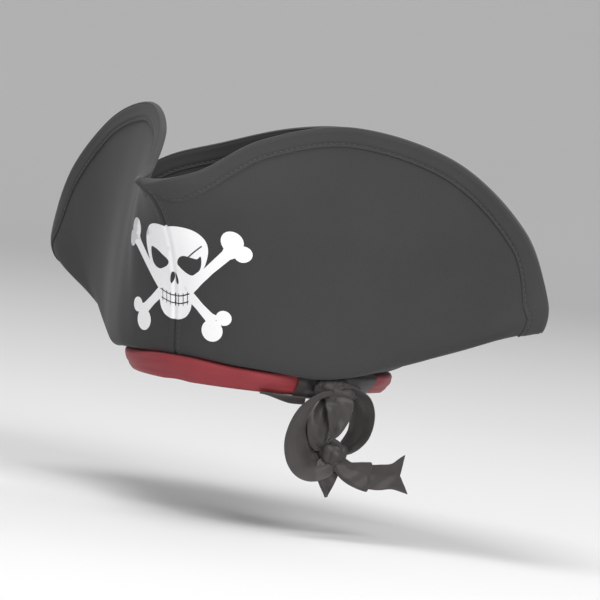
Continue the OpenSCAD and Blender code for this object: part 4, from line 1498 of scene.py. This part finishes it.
@dataclass(frozen=True)
class Softbox:
    """A square area light that looks at the hat."""

    name: str
    place: tuple[float, float, float]
    side: float
    power: float
    colour: tuple[float, float, float] = (1.0, 1.0, 1.0)

    def build(self, target: Vector) -> None:
        """Adds the light."""
        data = bpy.data.lights.new(self.name, "AREA")
        data.size, data.energy, data.color = self.side, self.power, self.colour
        obj = bpy.data.objects.new(self.name, data)
        obj.location = self.place
        obj.rotation_euler = (target - obj.location).to_track_quat("-Z", "Y").to_euler()
        bpy.context.scene.collection.objects.link(obj)


@dataclass(frozen=True)
class CameraView:
    """The viewpoint: azimuth, elevation and roll in degrees, distance and shifts in millimetres."""

    azimuth: float = 37.775
    elevation: float = 3.112
    roll: float = 6.808
    distance: float = 2905.9
    right: float = 30.96
    up: float = 58.14
    image_per_mm: float = 1.40665
    image_side: float = 600.0
    sensor: float = 36.0

    def build(self) -> None:
        """Adds the camera and makes it the scene's."""
        a, e, roll = (math.radians(x) for x in (self.azimuth, self.elevation, self.roll))
        back = Vector((math.sin(a) * math.cos(e), -math.cos(a) * math.cos(e), math.sin(e)))
        level = Vector((math.cos(a), math.sin(a), 0.0))
        lift = back.cross(level)
        right = level * math.cos(roll) + lift * math.sin(roll)
        up = lift * math.cos(roll) - level * math.sin(roll)
        data = bpy.data.cameras.new("camera")
        data.sensor_width = self.sensor
        data.lens = self.image_per_mm * self.distance * self.sensor / self.image_side
        data.clip_start, data.clip_end = 0.05, 60.0
        obj = bpy.data.objects.new("camera", data)
        turn = Matrix((right, up, back)).transposed().to_4x4()
        place = (back * self.distance + right * self.right + up * self.up) * MM
        obj.matrix_world = Matrix.Translation(place) @ turn
        bpy.context.scene.collection.objects.link(obj)
        bpy.context.scene.camera = obj


class Stage:
    """Pale floor with a raised rim, soft lights and the camera."""

    FLOOR_GAP = 0.03
    FLAT_R, BEND_R = 3.6, 2.2
    AIM = (0.0, 0.0, 0.1)
    SKY = 0.36

    def floor(self) -> None:
        """A wide flat disc that curves up all round, so that no horizon shows."""
        low = min(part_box(n)[0].z for n in ("short_tail", "front_loop", "long_tail")) - self.FLOOR_GAP
        flat = np.linspace(0.02, self.FLAT_R, 16)
        bend = np.radians(np.linspace(0, 80, 22)[1:])
        radius = np.concatenate([flat, self.FLAT_R + self.BEND_R * np.sin(bend)])
        height = np.concatenate([0 * flat, self.BEND_R * (1 - np.cos(bend))])
        t = np.linspace(0, 2 * np.pi, 96, endpoint=False)
        rings = np.stack(np.broadcast_arrays(radius[:, None] * np.cos(t), radius[:, None] * np.sin(t),
                                             height[:, None] + low), -1)
        n, m = rings.shape[:2]
        faces = ring_faces(n, m).tolist() + end_faces(n, m)[:1]
        mesh = bpy.data.meshes.new("floor")
        mesh.from_pydata(rings.reshape(-1, 3).tolist(), [], [f[::-1] for f in faces])
        mesh.shade_smooth()
        mesh.materials.append(PAPER.material())
        obj = bpy.data.objects.new("floor", mesh)
        bpy.context.scene.collection.objects.link(obj)

    def build(self) -> None:
        """Adds the floor, the lights, the world and the camera."""
        self.floor()
        for box in (Softbox("key", (2.9, -1.2, 1.9), 1.5, 88.0, (1.0, 0.985, 0.97)),
                    Softbox("fill", (-0.9, -3.0, 1.2), 1.6, 3.0),
                    Softbox("rim", (0.6, 2.6, 2.4), 1.8, 20.0),
                    Softbox("top", (-0.2, -0.7, 2.6), 1.2, 34.0)):
            box.build(Vector(self.AIM))
        world = bpy.data.worlds.new("studio")
        world.use_nodes = True
        sky = world.node_tree.nodes["Background"]
        sky.inputs[0].default_value = (1.0, 1.0, 1.0, 1.0)
        sky.inputs[1].default_value = self.SKY
        bpy.context.scene.world = world
        bpy.context.scene.view_settings.view_transform = "Standard"
        CameraView().build()


def main() -> None:
    """Builds the hat and its stage."""
    logging.basicConfig(level=logging.INFO)
    sizes = HatSizes.from_frame()
    shape, band = BrimShape(sizes), RedBand(sizes)
    Brim(sizes, shape).build()
    Print(sizes, shape).build()
    Crown(sizes).build()
    band.build()
    Sash(sizes, band).build()
    Stage().build()


if __name__ == "__main__":
    main()
